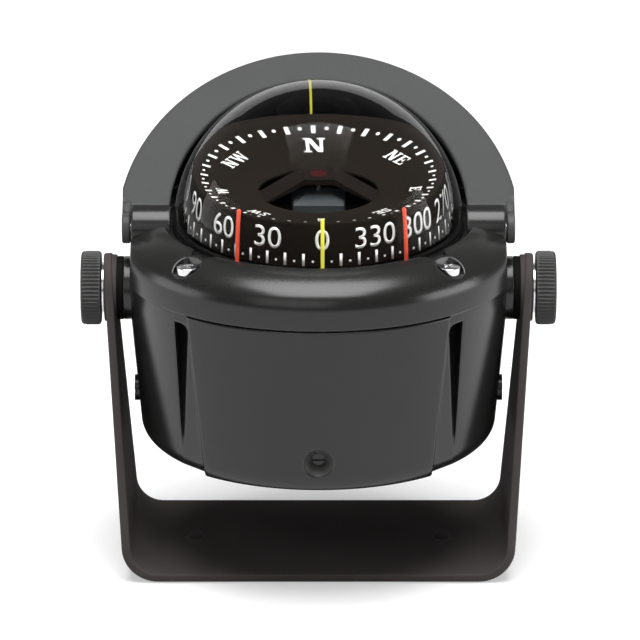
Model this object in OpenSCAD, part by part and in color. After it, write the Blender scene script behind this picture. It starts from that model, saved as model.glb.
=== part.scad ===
// Bracket-mount steering compass: a round housing that tilts between two bracket arms,
// a swinging sun hood, and a liquid-filled dome with a gimballed reading card.
// The origin is on the bracket's underside, midway between its two screw holes.
// +Z is up, -Y faces the helmsman and +X is on the helmsman's right.

/* [Bracket] */
// Height of the tilt axis above the mounting surface
axis_z = 99; // [96:0.5:110]
// Width over both arms at the tilt axis
arm_span = 152.8; // [152.4:0.2:158]
// Outward lean of each arm in degrees
arm_lean = 3.8; // [3:0.1:4]
// Thickness of the bent strap
strap_t = 3; // [2.6:0.1:3.2]
// Depth of the base plate from front to back
base_depth = 76; // [64:1:90]
// Outside radius of the two bends
bend_r = 13; // [10:0.5:16]
// Radius of the rounded arm tips
arm_tip_r = 12.5; // [12.4:0.1:14]
// Distance between the two base screw holes
hole_spacing = 90; // [60:1:100]
// Diameter of the base screw holes
hole_d = 5; // [4:0.1:6]

/* [Clamp knobs] */
// Diameter over the knurl
knob_d = 26.6; // [24:0.2:30]
// Length of each knob along the tilt axis
knob_w = 7.1; // [6:0.1:9]
// Number of knurl ridges
knurl_count = 60; // [40:1:72]
// Diameter of the clamp screws
screw_d = 6; // [5:0.5:6]

/* [Housing] */
// Diameter of the tub at the seam under the bezel
housing_d = 138; // [136:0.5:139]
// Diameter of the proud front panel at the seam
panel_d = 141.4; // [140:0.2:141.6]
// Draft of the tub wall in degrees
housing_draft = 5; // [3:0.1:6]
// Draft of the front panel in degrees
panel_draft = 3.7; // [3:0.1:5]
// Height of the tub's underside
floor_z = 44; // [43.6:0.2:44.2]
// Radius of the rounded bottom edge
floor_round = 7.5; // [6:0.5:7.5]
// Wall thickness of the tub
wall = 3; // [2.5:0.1:3.5]
// Height of the seam between tub and bezel
seam_z = 106; // [105:0.5:106.5]

/* [Bezel] */
// Diameter of the bezel skirt
bezel_d = 141.8; // [141:0.2:142.4]
// Radius of the rounded shoulder
shoulder_r = 9; // [8:0.5:10]
// Slope of the top face in degrees
face_slope = 20; // [16:1:22]
// Diameter of the opening round the dome
opening_d = 110.8; // [109:0.2:112]
// Height of the opening's edge
opening_z = 124.6; // [124.2:0.1:125]

/* [Dome] */
// Outside diameter of the clear dome
dome_d = 104; // [102:0.5:105]
// Thickness of the dome
dome_t = 2; // [1.6:0.1:2.4]
// Height of the dome's centre
dome_z = 123; // [122.4:0.1:123.4]

/* [Hood] */
// Outside diameter of the hood
hood_d = 144.8; // [144:0.2:145.4]
// Thickness of the hood's shell and rim
hood_t = 3; // [2.4:0.1:3]
// Backward lean of the stowed hood's face in degrees
hood_lean = 45; // [44:0.2:48]
// Diameter of the hood's arched window
window_d = 107; // [106:0.5:109]
// Height of the window's centre above the hood pivot
window_rise = 6.6; // [5:0.1:8]
// Height of the hood pivot
pivot_z = 121.5; // [121:0.1:122]
// Diameter of the bezel's knuckles round the hood pivot
knuckle_d = 16.8; // [14:0.2:17]

/* [Card] */
// Diameter of the card's rim
card_d = 68; // [60:0.5:68]
// Height of the numbered rim band
band_h = 13; // [10:0.5:13]
// Turn of the card and lubber lines from dead ahead in degrees
card_yaw = 2; // [-5:0.5:5]
// Height of the two gimbal axes
gimbal_z = 117.5; // [117.2:0.1:117.7]

/* [Hidden] */
$fn = 96;

plastic = [0.10, 0.10, 0.105];
bracket_black = [0.13, 0.12, 0.12];
clear = [0.8, 0.85, 0.85, 0.35];
rubber = [0.04, 0.04, 0.04];
steel = [0.75, 0.75, 0.76];
brass = [0.76, 0.62, 0.32];
grey = [0.3, 0.3, 0.31];

// Running clearance of a shaft in its hole, and the open gap beside moving faces
fit = 0.05;
gap = 0.4;
// Overshoot of cutters
cut = 1;

// Bracket and clamp, measured outward along X
arm_x = arm_span / 2;
arm_top_z = axis_z + 20;
bend_x = arm_x + ((bend_r - axis_z) * sin(arm_lean) - bend_r) / cos(arm_lean);
boss_r = 12;
boss_in_x = 72.4;
boss_out_x = arm_x + 0.6;
washer_r = 9;
washer_t = 1;
knob_in_x = boss_out_x + washer_t + 0.2;
knob_r = knob_d / 2;
knurl_h = 0.55;
knob_chamfer = 1.2;
knob_rim = 4.5;
knob_dish = 0.8;
knob_web = 2;
screw_r = screw_d / 2;
screw_in_x = 60;
pad_r = 11.4;
trunnion_x = 70;
trunnion_in_x = 56;
insert_r = 5;
insert_in_x = 58;

// Housing
housing_r = housing_d / 2;
panel_r = panel_d / 2;
housing_flat_x = 67.3;
panel_top_x = 45.7;
panel_top_z = 100;
panel_low_x = 40.8;
panel_low_z = 52;
groove_top_z = 102;
groove_low_z = 55;
groove_out_x = 50.6;
groove_tip_x = 48.1;
groove_floor_y = -38;
groove_step = 11;
groove_tip_y = -42.5;
groove_tip_w = 0.6;
groove_block = [12, 24.5, seam_z];
groove_block_x = 43.2;
groove_block_y = -60;
web_z = 100;
seat_z = 113.5;
collar_r = 60;
collar_in_r = 55.5;
post_r = 4.2;
recess_r = 5;
recess_z = 56.2;
front_boss = [15, 8, recess_z + 5 - floor_z];
front_boss_y = -62;
socket_wall = 2.5;
socket_in_x = 56;
socket_out_x = 63.5;

// Bezel
bezel_r = bezel_d / 2;
bezel_flat_x = 67.1;
opening_r = opening_d / 2;
shoulder_x = bezel_r - shoulder_r;
shoulder_start_r = shoulder_x + shoulder_r * sin(face_slope);
shoulder_start_z = opening_z - (shoulder_start_r - opening_r) * tan(face_slope);
shoulder_z = shoulder_start_z - shoulder_r * cos(face_slope);
lip_z = 122.2;
bezel_in_r = 65;
seat_gap = 0.6;
knuckle_r = knuckle_d / 2;
knuckle_in_x = 53;
bezel_screw_x = 46;
bezel_screw_y = 44.5;
pocket_r = 5;
pocket_z = 119;
bezel_screw_r = 1.75;
bezel_hole_r = 2;
bezel_screw_tip_z = 104.5;
bezel_head_r = 3.7;
bezel_head_h = 2.2;
cross_slot = [4.4, 1, 2];
cross_slot_h = 1.2;
pin_r = 2.2;
pin_in_x = 60;

// Capsule
dome_r = dome_d / 2;
liquid_r = dome_r - dome_t;
flange_r = 60;
dome_flange_low_z = 119.2;
dome_flange_top_z = 121.2;
bowl_r = liquid_r + 2.5;
bowl_floor_z = 86;
bowl_base_z = 83;
seal_r = 0.8;
seal_mid_r = 56.1;
seal_groove_w = 2.2;
seal_groove_h = 1.7;
diaphragm_r = 20;
diaphragm_ring_r = 23;
vent_r = diaphragm_r - 6;
plug_x = 27;
plug_r = 3;
plug_head_r = 3.8;
plug_head_h = 2.5;
lamp_z = 93;
lamp_r = 2.4;
holder_r = 4;
holder_collar_r = 6;
gland_z = 64;
gland_r = 5;
gland_bore_r = 3;
gland_boss_r = 9;

// Hood
hood_r = hood_d / 2;
window_r = window_d / 2;
ear_x = 67.4;
ear_out_x = 70.5;
ear_r = 5.5;
hood_sweep = 92.6 - hood_lean;

// Card and gimbal
card_r = card_d / 2;
card_top_z = 134;
card_wall = 0.8;
disc_rim_z = 132.4;
disc_hub_z = 130.6;
disc_hole_r = 15.5;
hub_top_z = 137;
bridge_t = 1.6;
bridge_w = 9;
jewel_r = 2.2;
ring_r = 44;
ring_in_r = 41;
ring_h = 4;
frame_r = 39.2;
frame_in_r = 35.8;
gimbal_pin_r = 1.2;
bar_w = 10;
bar_top_z = 116.5;
pedestal_top_z = 131;
post_top_z = 135.9;
lubber_r = 37.5;
lubber_top_z = 136.8;

// Compensators
cross_z = 61;
cross_cap_r = 4.75;
rod_r = 2;
rod_magnet_r = 4.5;
cap_slot_w = 1.2;
cap_slot_h = 0.8;
fore_aft_z = recess_z;
fore_aft_front_y = -62.5;
fore_aft_end_y = 20;
bearing_y = 14;

// A cylinder along X between two positions
module x_cyl(r, x0, x1, z = 0) {
    translate([x0, 0, z]) rotate([0, 90, 0]) cylinder(r = r, h = x1 - x0);
}

// A cylinder along Y between two positions
module y_cyl(r, y0, y1, z = 0) {
    translate([0, y0, z]) rotate([-90, 0, 0]) cylinder(r = r, h = y1 - y0);
}

// A cylinder along Z between two heights
module z_cyl(r, z0, z1) {
    translate([0, 0, z0]) cylinder(r = r, h = z1 - z0);
}

// The children as drawn and mirrored to the left side
module both_sides() {
    children();
    mirror([1, 0, 0]) children();
}

// The children at the four bezel screws
module at_bezel_screws() {
    for (sx = [-1, 1], sy = [-1, 1])
        translate([sx * bezel_screw_x, sy * bezel_screw_y, 0]) children();
}

// A flat ring about Z
module ring(r_out, r_in, z0, z1) {
    difference() {
        z_cyl(r_out, z0, z1);
        z_cyl(r_in, z0 - cut, z1 + cut);
    }
}

// Half section of a drafted tub with a rounded bottom edge, shrunk inward by inset
module tub_section(r_top, draft, inset) {
    round_r = floor_round - inset;
    round_z = floor_z + floor_round;
    round_x = r_top - ((seam_z - round_z) * sin(draft) + floor_round) / cos(draft);
    tangent = [round_x + round_r * cos(draft), round_z - round_r * sin(draft)];
    polygon([
        [0, floor_z + inset],
        [round_x, floor_z + inset],
        tangent,
        tangent + (seam_z - tangent[1]) * [tan(draft), 1],
        [0, seam_z]
    ]);
    intersection() {
        translate([round_x, round_z]) circle(r = round_r);
        translate([round_x, floor_z]) square([2 * floor_round, floor_round]);
    }
}

// X of an arm face at a height, moved inward by inset
function arm_face_x(z, inset) = arm_x + ((z - axis_z) * sin(arm_lean) - inset) / cos(arm_lean);

// Front outline of the bent strap, shrunk inward by inset
module strap_outline(inset) {
    r = bend_r - inset;
    tangent = [bend_x + r * cos(arm_lean), bend_r - r * sin(arm_lean)];
    tip = [arm_face_x(arm_top_z, inset), arm_top_z];
    polygon([
        [-bend_x, inset], [bend_x, inset], tangent, tip,
        [-tip[0], tip[1]], [-tangent[0], tangent[1]]
    ]);
    for (side = [-1, 1]) translate([side * bend_x, bend_r]) circle(r = r);
}

// Side outline of the bracket: full depth at the base, tapering to the round arm tips
module arm_outline() {
    rise = axis_z - bend_r;
    half = base_depth / 2;
    taper = atan2(half, rise) - asin(arm_tip_r / norm([half, rise]));
    touch = [arm_tip_r * cos(taper), axis_z + arm_tip_r * sin(taper)];
    polygon([
        [-half, -cut], [half, -cut], [half, bend_r], touch,
        [-touch[0], touch[1]], [-half, bend_r]
    ]);
    translate([0, axis_z]) circle(r = arm_tip_r);
}

module bracket() {
    color(bracket_black) difference() {
        union() {
            intersection() {
                rotate([90, 0, 0]) linear_extrude(base_depth + 2 * cut, center = true) difference() {
                    strap_outline(0);
                    strap_outline(strap_t);
                }
                rotate([90, 0, 90]) linear_extrude(2 * arm_span, center = true) arm_outline();
            }
            both_sides() x_cyl(boss_r, boss_in_x, boss_out_x, axis_z);
        }
        both_sides() {
            x_cyl(screw_r + fit, boss_in_x - cut, boss_out_x + cut, axis_z);
            translate([hole_spacing / 2, 0, 0]) z_cyl(hole_d / 2, -cut, strap_t + cut);
        }
    }
}

module knob_washers() {
    color(steel) both_sides() difference() {
        x_cyl(washer_r, boss_out_x, boss_out_x + washer_t, axis_z);
        x_cyl(screw_r + gap, boss_out_x - cut, boss_out_x + washer_t + cut, axis_z);
    }
}

// A knurled clamp knob on the right-hand side: its ridges run out at the chamfer round the dished face
module knob() {
    step = 360 / knurl_count;
    color(plastic) translate([knob_in_x, 0, axis_z]) rotate([0, 90, 0]) difference() {
        intersection() {
            linear_extrude(knob_w) polygon([
                for (i = [0 : 2 * knurl_count - 1])
                    let (r = knob_r - (i % 2) * knurl_h, a = i * step / 2)
                    r * [cos(a), sin(a)]
            ]);
            rotate_extrude() polygon([
                [0, -cut], [knob_r + cut, -cut], [knob_r + cut, knob_w - knob_chamfer - cut],
                [knob_r - knob_chamfer - cut, knob_w + cut], [0, knob_w + cut]
            ]);
        }
        z_cyl(knob_r - knob_rim, knob_w - knob_dish, knob_w + cut);
        z_cyl(screw_r, -cut, knob_w - knob_web);
    }
}

// A clamp screw on the right-hand side, seated in its knob
module knob_screw() {
    color(steel) x_cyl(screw_r, screw_in_x, knob_in_x + knob_w - knob_web, axis_z);
}

module knob_right() {
    knob();
}

module knob_left() {
    mirror([1, 0, 0]) knob();
}

module knob_screw_right() {
    knob_screw();
}

module knob_screw_left() {
    mirror([1, 0, 0]) knob_screw();
}

// Outer form of the tub: drafted drum, proud front panel and flat sides at the arms
module housing_form() {
    intersection() {
        rotate_extrude() tub_section(housing_r, housing_draft, 0);
        translate([-housing_flat_x, -panel_r, 0]) cube([2 * housing_flat_x, 2 * panel_r, seam_z]);
    }
    intersection() {
        rotate_extrude() tub_section(panel_r, panel_draft, 0);
        rotate([90, 0, 0]) linear_extrude(2 * panel_r) panel_outline();
    }
}

// Front outline of the proud panel, narrowing downward
module panel_outline() {
    lean = (panel_top_x - panel_low_x) / (panel_top_z - panel_low_z);
    top_x = panel_top_x + lean * (seam_z - panel_top_z);
    low_x = panel_low_x - lean * panel_low_z;
    polygon([[-low_x, 0], [low_x, 0], [top_x, seam_z], [-top_x, seam_z]]);
}

// The relief groove beside the panel: deep at the top, running out to a point at the bottom
module groove_cutter() {
    hull() {
        translate([0, 0, groove_top_z - 0.1]) linear_extrude(0.1) polygon([
            [groove_out_x, groove_floor_y], [groove_out_x, -panel_r],
            [panel_top_x, -panel_r], [panel_top_x, groove_floor_y - groove_step]
        ]);
        translate([0, 0, groove_low_z]) linear_extrude(0.1) polygon([
            [groove_tip_x + groove_tip_w / 2, groove_tip_y],
            [groove_tip_x + groove_tip_w / 2, -panel_r],
            [groove_tip_x - groove_tip_w / 2, -panel_r],
            [groove_tip_x - groove_tip_w / 2, groove_tip_y - 0.5]
        ]);
    }
}

module housing() {
    color(plastic) difference() {
        union() {
            difference() {
                housing_form();
                rotate_extrude() tub_section(housing_r, housing_draft, wall);
            }
            intersection() {
                housing_form();
                both_sides() translate([groove_block_x, groove_block_y, 0]) cube(groove_block);
            }
            ring(collar_r, collar_in_r, web_z, seat_z);
            ring(housing_r - wall, collar_in_r, web_z, web_z + wall);
            at_bezel_screws() z_cyl(post_r, groove_top_z + 0.4, seat_z);
            both_sides() {
                x_cyl(pad_r, trunnion_in_x, trunnion_x, axis_z);
                x_cyl(cross_cap_r + socket_wall, socket_in_x, socket_out_x, cross_z);
            }
            translate([-front_boss[0] / 2, front_boss_y, floor_z + 2]) cube(front_boss);
            y_cyl(gland_boss_r, 58, 63, gland_z);
        }
        both_sides() {
            groove_cutter();
            x_cyl(insert_r, trunnion_in_x - cut, trunnion_x + cut, axis_z);
            x_cyl(cross_cap_r + fit, socket_in_x - cut, housing_r, cross_z);
        }
        y_cyl(recess_r, -panel_r - cut, -63, recess_z);
        y_cyl(cross_cap_r + fit, -64, -53, recess_z);
        y_cyl(gland_r, 57, housing_r, gland_z);
        at_bezel_screws() z_cyl(bezel_screw_r, bezel_screw_tip_z, seat_z + cut);
    }
}

// Half section of the bezel: straight skirt, rounded shoulder and sloping top face
module bezel_section() {
    polygon([
        [opening_r, seam_z], [bezel_r, seam_z], [bezel_r, shoulder_z], [shoulder_x, shoulder_z],
        [shoulder_start_r, shoulder_start_z], [opening_r, opening_z]
    ]);
    intersection() {
        translate([shoulder_x, shoulder_z]) circle(r = shoulder_r);
        polygon([
            [shoulder_x, shoulder_z], [bezel_r + cut, shoulder_z],
            [bezel_r + cut, shoulder_z + 2 * shoulder_r],
            [shoulder_x + 2 * shoulder_r * sin(face_slope), shoulder_z + 2 * shoulder_r * cos(face_slope)]
        ]);
    }
}

module bezel() {
    color(plastic) difference() {
        union() {
            intersection() {
                rotate_extrude() bezel_section();
                translate([-bezel_flat_x, -bezel_r, 0]) cube([2 * bezel_flat_x, 2 * bezel_r, 2 * seam_z]);
            }
            both_sides() x_cyl(knuckle_r, knuckle_in_x, bezel_flat_x, pivot_z);
        }
        z_cyl(flange_r + seat_gap, seam_z - cut, lip_z);
        z_cyl(bezel_in_r, seam_z - cut, seat_z);
        at_bezel_screws() {
            z_cyl(post_r + gap, seam_z - cut, seat_z);
            z_cyl(bezel_hole_r, seat_z - cut, pocket_z + cut);
            z_cyl(pocket_r, pocket_z, opening_z + cut);
        }
        both_sides() {
            x_cyl(pad_r + seat_gap, insert_in_x, bezel_r, axis_z);
            x_cyl(pin_r, pin_in_x, bezel_r, pivot_z);
        }
    }
}

module bezel_screws() {
    color(steel) at_bezel_screws() {
        z_cyl(bezel_screw_r, bezel_screw_tip_z, pocket_z);
        difference() {
            z_cyl(bezel_head_r, pocket_z, pocket_z + bezel_head_h);
            for (turn = [0, 90]) rotate([0, 0, turn])
                translate([-cross_slot[0] / 2, -cross_slot[1] / 2, pocket_z + bezel_head_h - cross_slot_h])
                    cube(cross_slot);
        }
    }
}

module friction_pads() {
    color(rubber) both_sides() difference() {
        x_cyl(pad_r, trunnion_x, boss_in_x, axis_z);
        x_cyl(screw_r + gap, trunnion_x - cut, boss_in_x + cut, axis_z);
    }
}

module trunnion_inserts() {
    color(brass) both_sides() difference() {
        x_cyl(insert_r, insert_in_x, trunnion_x, axis_z);
        x_cyl(screw_r + fit, insert_in_x - cut, trunnion_x + cut, axis_z);
    }
}

module dome() {
    color(clear) difference() {
        union() {
            intersection() {
                translate([0, 0, dome_z]) sphere(dome_r);
                z_cyl(dome_r + cut, dome_z, dome_z + dome_r + cut);
            }
            z_cyl(dome_r, dome_flange_low_z, dome_z);
            z_cyl(flange_r, dome_flange_low_z, dome_flange_top_z);
        }
        intersection() {
            translate([0, 0, dome_z]) sphere(liquid_r);
            z_cyl(dome_r + cut, dome_z, dome_z + dome_r);
        }
        z_cyl(liquid_r, dome_flange_low_z - cut, dome_z);
    }
}

module dome_gasket() {
    color(rubber) ring(flange_r, dome_r + gap, dome_flange_top_z, lip_z);
}

module capsule_bowl() {
    color(plastic) difference() {
        union() {
            intersection() {
                translate([0, 0, dome_z]) sphere(bowl_r);
                z_cyl(flange_r, bowl_base_z, dome_flange_low_z);
            }
            ring(flange_r, liquid_r, seat_z, dome_flange_low_z);
            y_cyl(holder_collar_r, 36, 47, lamp_z);
        }
        intersection() {
            translate([0, 0, dome_z]) sphere(liquid_r);
            z_cyl(flange_r, bowl_floor_z, dome_z);
        }
        ring(
            seal_mid_r + seal_groove_w / 2, seal_mid_r - seal_groove_w / 2,
            dome_flange_low_z - seal_groove_h, dome_flange_low_z + cut
        );
        z_cyl(vent_r, bowl_base_z - cut, bowl_floor_z + cut);
        translate([plug_x, 0, 0]) z_cyl(plug_r, bowl_base_z - cut, bowl_floor_z + cut);
        y_cyl(holder_r, 35, 48, lamp_z);
        both_sides() x_cyl(gimbal_pin_r, liquid_r - cut, 54, gimbal_z);
    }
}

module capsule_seal() {
    color(rubber) rotate_extrude()
        translate([seal_mid_r, dome_flange_low_z - seal_groove_h / 2]) circle(r = seal_r);
}

module diaphragm() {
    color(rubber) difference() {
        z_cyl(diaphragm_r, bowl_base_z - 2, bowl_base_z);
        z_cyl(vent_r - 1, bowl_base_z - 1, bowl_base_z + cut);
    }
}

module diaphragm_ring() {
    color(steel) difference() {
        z_cyl(diaphragm_ring_r, bowl_base_z - 4, bowl_base_z);
        z_cyl(diaphragm_r, bowl_base_z - 2, bowl_base_z + cut);
        z_cyl(vent_r, bowl_base_z - 5, bowl_base_z);
    }
}

module fill_plug() {
    color(brass) translate([plug_x, 0, 0]) {
        z_cyl(plug_r, bowl_base_z, bowl_floor_z - 0.5);
        difference() {
            z_cyl(plug_head_r, bowl_base_z - plug_head_h, bowl_base_z);
            translate([-5, -0.5, bowl_base_z - plug_head_h - cut]) cube([10, 1, 2]);
        }
    }
}

module lamp_holder() {
    color(plastic) difference() {
        union() {
            y_cyl(holder_r, 43, 56, lamp_z);
            y_cyl(holder_collar_r, 47, 50, lamp_z);
        }
        y_cyl(lamp_r, 42, 47, lamp_z);
    }
}

module lamp() {
    color([0.75, 0.12, 0.1]) y_cyl(lamp_r, 41, 47, lamp_z);
}

module cable_gland() {
    color(plastic) difference() {
        union() {
            y_cyl(gland_r, 57, 66, gland_z);
            translate([0, 66, gland_z]) rotate([-90, 0, 0]) cylinder(r = 8, h = 4, $fn = 6);
            translate([0, 70, gland_z]) rotate([-90, 0, 0]) cylinder(r1 = 5.5, r2 = 4.5, h = 3);
        }
        y_cyl(gland_bore_r, 56, 74, gland_z);
    }
}

module hood_pins() {
    color(steel) both_sides() x_cyl(pin_r, pin_in_x, ear_out_x - 0.2, pivot_z);
}

module pitch_pins() {
    color(brass) both_sides() x_cyl(gimbal_pin_r, ring_in_r + 0.6, 54, gimbal_z);
}

module rod_bearing() {
    color(plastic) difference() {
        translate([-5, bearing_y - 3, floor_z + wall]) cube([10, 6, fore_aft_z + 5 - floor_z - wall]);
        y_cyl(rod_r + fit, bearing_y - 4, bearing_y + 4, fore_aft_z);
    }
}

// Outline of one hood ear in the hood's own upright position
module ear_outline() {
    circle(r = ear_r);
    polygon([[-ear_r, 0], [ear_r, 0], [14, 16], [0, 16], [0, 9]]);
}

// A wedge of a ball about the pivot axis, from upright to the given angle behind it
module ball_wedge(r, angle) {
    rotate([0, -90, 0]) rotate_extrude(angle = angle) intersection() {
        circle(r = r);
        translate([0, -r]) square([r, 2 * r]);
    }
}

// Clearance over the bezel that the hood's lower edge is trimmed to
module hood_trim() {
    rotate_extrude() polygon([
        [0, seam_z], [hood_r + 4, seam_z], [hood_r + 4, 118.4], [66, 122.4],
        [opening_r, opening_z + 1.2], [0, opening_z + 1.2]
    ]);
}

// Half-ball shell behind the arched face, with flat sides and the pivot ears
module hood() {
    color(plastic) intersection() {
        union() {
            difference() {
                translate([0, 0, pivot_z]) rotate([-hood_lean, 0, 0]) difference() {
                    ball_wedge(hood_r, hood_sweep);
                    intersection() {
                        ball_wedge(hood_r - hood_t, 180);
                        translate([-hood_r, hood_t, -hood_r]) cube(2 * hood_r);
                    }
                    translate([0, 0, window_rise]) y_cyl(window_r, -cut, hood_t + cut);
                    translate([-window_r, -cut, -hood_r])
                        cube([2 * window_r, hood_t + 2 * cut, hood_r + window_rise]);
                    x_cyl(knuckle_r + gap, -hood_r, hood_r);
                }
                hood_trim();
            }
            translate([0, 0, pivot_z]) rotate([-hood_lean, 0, 0]) both_sides() difference() {
                intersection() {
                    ball_wedge(hood_r, 360);
                    rotate([90, 0, 90]) translate([0, 0, ear_x])
                        linear_extrude(hood_r - ear_x) ear_outline();
                }
                x_cyl(pin_r + fit, ear_x - cut, hood_r + cut);
            }
        }
        translate([-ear_out_x, -2 * hood_r, 0]) cube([2 * ear_out_x, 4 * hood_r, pivot_z + 2 * hood_r]);
    }
}

module gimbal_ring() {
    color(brass) difference() {
        ring(ring_r, ring_in_r, gimbal_z - ring_h / 2, gimbal_z + ring_h / 2);
        both_sides() x_cyl(gimbal_pin_r + fit, ring_in_r - 2, ring_r + cut, gimbal_z);
        for (side = [-1, 1]) translate([0, side * ring_r, 0]) y_cyl(gimbal_pin_r, -4, 4, gimbal_z);
    }
}

module roll_pins() {
    color(steel) for (side = [0, 180]) rotate([0, 0, side])
        y_cyl(gimbal_pin_r, frame_in_r + 0.6, ring_r - 0.2, gimbal_z);
}

module card_frame() {
    color(plastic) difference() {
        union() {
            ring(frame_r, frame_in_r, gimbal_z - ring_h / 2, gimbal_z + ring_h / 2);
            translate([-bar_w / 2, -frame_in_r - 0.5, bar_top_z - 3]) cube([bar_w, 2 * frame_in_r + 1, 3]);
        }
        for (side = [0, 180]) rotate([0, 0, side])
            y_cyl(gimbal_pin_r + fit, frame_in_r - 3, frame_r + cut, gimbal_z);
    }
}

module counterweight() {
    color(grey) z_cyl(14, bar_top_z - 15, bar_top_z - 3);
}

// Block that carries the pivot post, with a roof that slopes up to the post
module pedestal() {
    color(grey) hull() {
        translate([-6.8, -7, bar_top_z]) cube([13.6, 12, pedestal_top_z - 0.6 - bar_top_z]);
        translate([-3.5, -2.5, bar_top_z]) cube([7, 5, pedestal_top_z + 1 - bar_top_z]);
    }
}

module pivot_post() {
    color(steel) {
        z_cyl(0.75, pedestal_top_z + 1, post_top_z - 0.8);
        translate([0, 0, post_top_z - 0.8]) cylinder(r1 = 0.75, r2 = 0.15, h = 0.8);
    }
}

// One upright lubber line standing on the inner frame
module lubber(angle, width, top_z) {
    rotate([0, 0, angle + card_yaw])
        translate([-width / 2, -lubber_r - 0.6, gimbal_z + ring_h / 2])
            cube([width, 1.2, top_z - gimbal_z - ring_h / 2]);
}

module lubber_front() {
    color("gold") lubber(0, 1.4, lubber_top_z);
}

module lubber_rear() {
    color("gold") lubber(180, 1, lubber_top_z);
}

module lubbers_45() {
    color("red") for (angle = [-45, 45]) lubber(angle, 1.6, lubber_top_z);
}

module card() {
    color(plastic) rotate_extrude() polygon([
        [disc_hole_r, disc_hub_z], [card_r - card_wall, disc_rim_z],
        [card_r - card_wall, card_top_z - band_h],
        [card_r, card_top_z - band_h], [card_r, card_top_z - 0.6], [card_r - 0.6, card_top_z],
        [card_r - card_wall - 0.6, card_top_z], [card_r - 2.4, disc_rim_z + card_wall],
        [disc_hole_r, disc_hub_z + card_wall]
    ]);
}

module card_bridge() {
    foot_z = disc_hub_z - 1;
    foot_out_x = 18.5;
    foot_in_x = 15;
    hub_x = 4;
    color(grey) rotate([0, 0, card_yaw]) difference() {
        translate([0, bridge_w / 2, 0]) rotate([90, 0, 0]) linear_extrude(bridge_w) polygon([
            [-foot_out_x, foot_z], [-foot_in_x, foot_z], [-hub_x, hub_top_z - bridge_t],
            [hub_x, hub_top_z - bridge_t], [foot_in_x, foot_z], [foot_out_x, foot_z],
            [foot_out_x, disc_hub_z], [foot_in_x - 0.6, disc_hub_z], [hub_x, hub_top_z],
            [-hub_x, hub_top_z], [0.6 - foot_in_x, disc_hub_z], [-foot_out_x, disc_hub_z]
        ]);
        z_cyl(jewel_r, hub_top_z - 3, hub_top_z + cut);
    }
}

module jewel_cup() {
    color([0.6, 0.1, 0.2]) difference() {
        z_cyl(jewel_r, hub_top_z - bridge_t, hub_top_z);
        z_cyl(jewel_r - 1, hub_top_z - 3, post_top_z + 0.35);
    }
}

module card_magnets() {
    color(steel) rotate([0, 0, card_yaw]) both_sides()
        translate([20, -12, disc_hub_z - 2.55]) cube([4, 24, 3]);
}

module cross_rod() {
    color(brass) x_cyl(rod_r, -62, 62, cross_z);
}

// Slotted turning caps that show at the sides of the housing
module cross_rod_caps() {
    color(plastic) both_sides() difference() {
        x_cyl(cross_cap_r, 58, 66.5, cross_z);
        x_cyl(rod_r, 57, 62, cross_z);
        translate([66.5 - cap_slot_h, -5, cross_z - cap_slot_w / 2]) cube([2, 10, cap_slot_w]);
    }
}

module cross_rod_magnets() {
    color(steel) both_sides() difference() {
        x_cyl(rod_magnet_r, 28, 36, cross_z);
        x_cyl(rod_r, 27, 37, cross_z);
    }
}

module fore_aft_rod() {
    color(brass) y_cyl(rod_r, -58, fore_aft_end_y, fore_aft_z);
}

module fore_aft_cap() {
    color(plastic) difference() {
        y_cyl(cross_cap_r, fore_aft_front_y, -54, fore_aft_z);
        y_cyl(rod_r, -58, -53, fore_aft_z);
        translate([-5, fore_aft_front_y - cut, fore_aft_z - cap_slot_w / 2])
            cube([10, cap_slot_h + cut, cap_slot_w]);
    }
}

module fore_aft_magnet() {
    color(steel) difference() {
        y_cyl(rod_magnet_r, -36, -26, fore_aft_z);
        y_cyl(rod_r, -37, -25, fore_aft_z);
    }
}

bracket();
knob_washers();
knob_left();
knob_screw_left();
knob_right();
knob_screw_right();
housing();
bezel();
bezel_screws();
friction_pads();
trunnion_inserts();
dome();
dome_gasket();
capsule_bowl();
capsule_seal();
diaphragm();
diaphragm_ring();
fill_plug();
lamp_holder();
lamp();
cable_gland();
hood_pins();
pitch_pins();
rod_bearing();
hood();
gimbal_ring();
roll_pins();
card_frame();
counterweight();
pedestal();
pivot_post();
lubber_front();
lubber_rear();
lubbers_45();
card();
card_bridge();
jewel_cup();
card_magnets();
cross_rod();
cross_rod_caps();
cross_rod_magnets();
fore_aft_rod();
fore_aft_cap();
fore_aft_magnet();
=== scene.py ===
"""Looks of a bracket-mount steering compass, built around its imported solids.

Shapes are worked out in millimetres as numpy grids and put into their meshes in metres.
+Z is up, -Y faces the helmsman and +X is on the helmsman's right.
"""

import functools
import logging
from dataclasses import dataclass
from enum import Enum
from typing import Callable, Optional, Sequence

import bmesh
import bpy
import numpy as np
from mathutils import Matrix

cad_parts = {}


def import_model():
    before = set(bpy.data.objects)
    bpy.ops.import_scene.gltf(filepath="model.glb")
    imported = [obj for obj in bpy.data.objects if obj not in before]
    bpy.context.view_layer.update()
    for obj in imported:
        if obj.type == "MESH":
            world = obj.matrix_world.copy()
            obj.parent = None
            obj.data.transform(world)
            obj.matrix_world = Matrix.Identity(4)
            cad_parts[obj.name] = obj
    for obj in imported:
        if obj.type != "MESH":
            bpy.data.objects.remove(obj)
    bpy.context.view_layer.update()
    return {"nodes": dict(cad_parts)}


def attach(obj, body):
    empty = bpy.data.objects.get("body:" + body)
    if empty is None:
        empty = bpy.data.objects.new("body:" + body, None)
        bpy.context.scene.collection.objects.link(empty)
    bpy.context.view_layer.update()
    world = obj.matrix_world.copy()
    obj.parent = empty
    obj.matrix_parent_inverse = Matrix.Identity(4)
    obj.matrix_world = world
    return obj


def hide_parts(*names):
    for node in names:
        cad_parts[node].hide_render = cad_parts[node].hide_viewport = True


Array = np.ndarray
Color = tuple[float, float, float]

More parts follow.
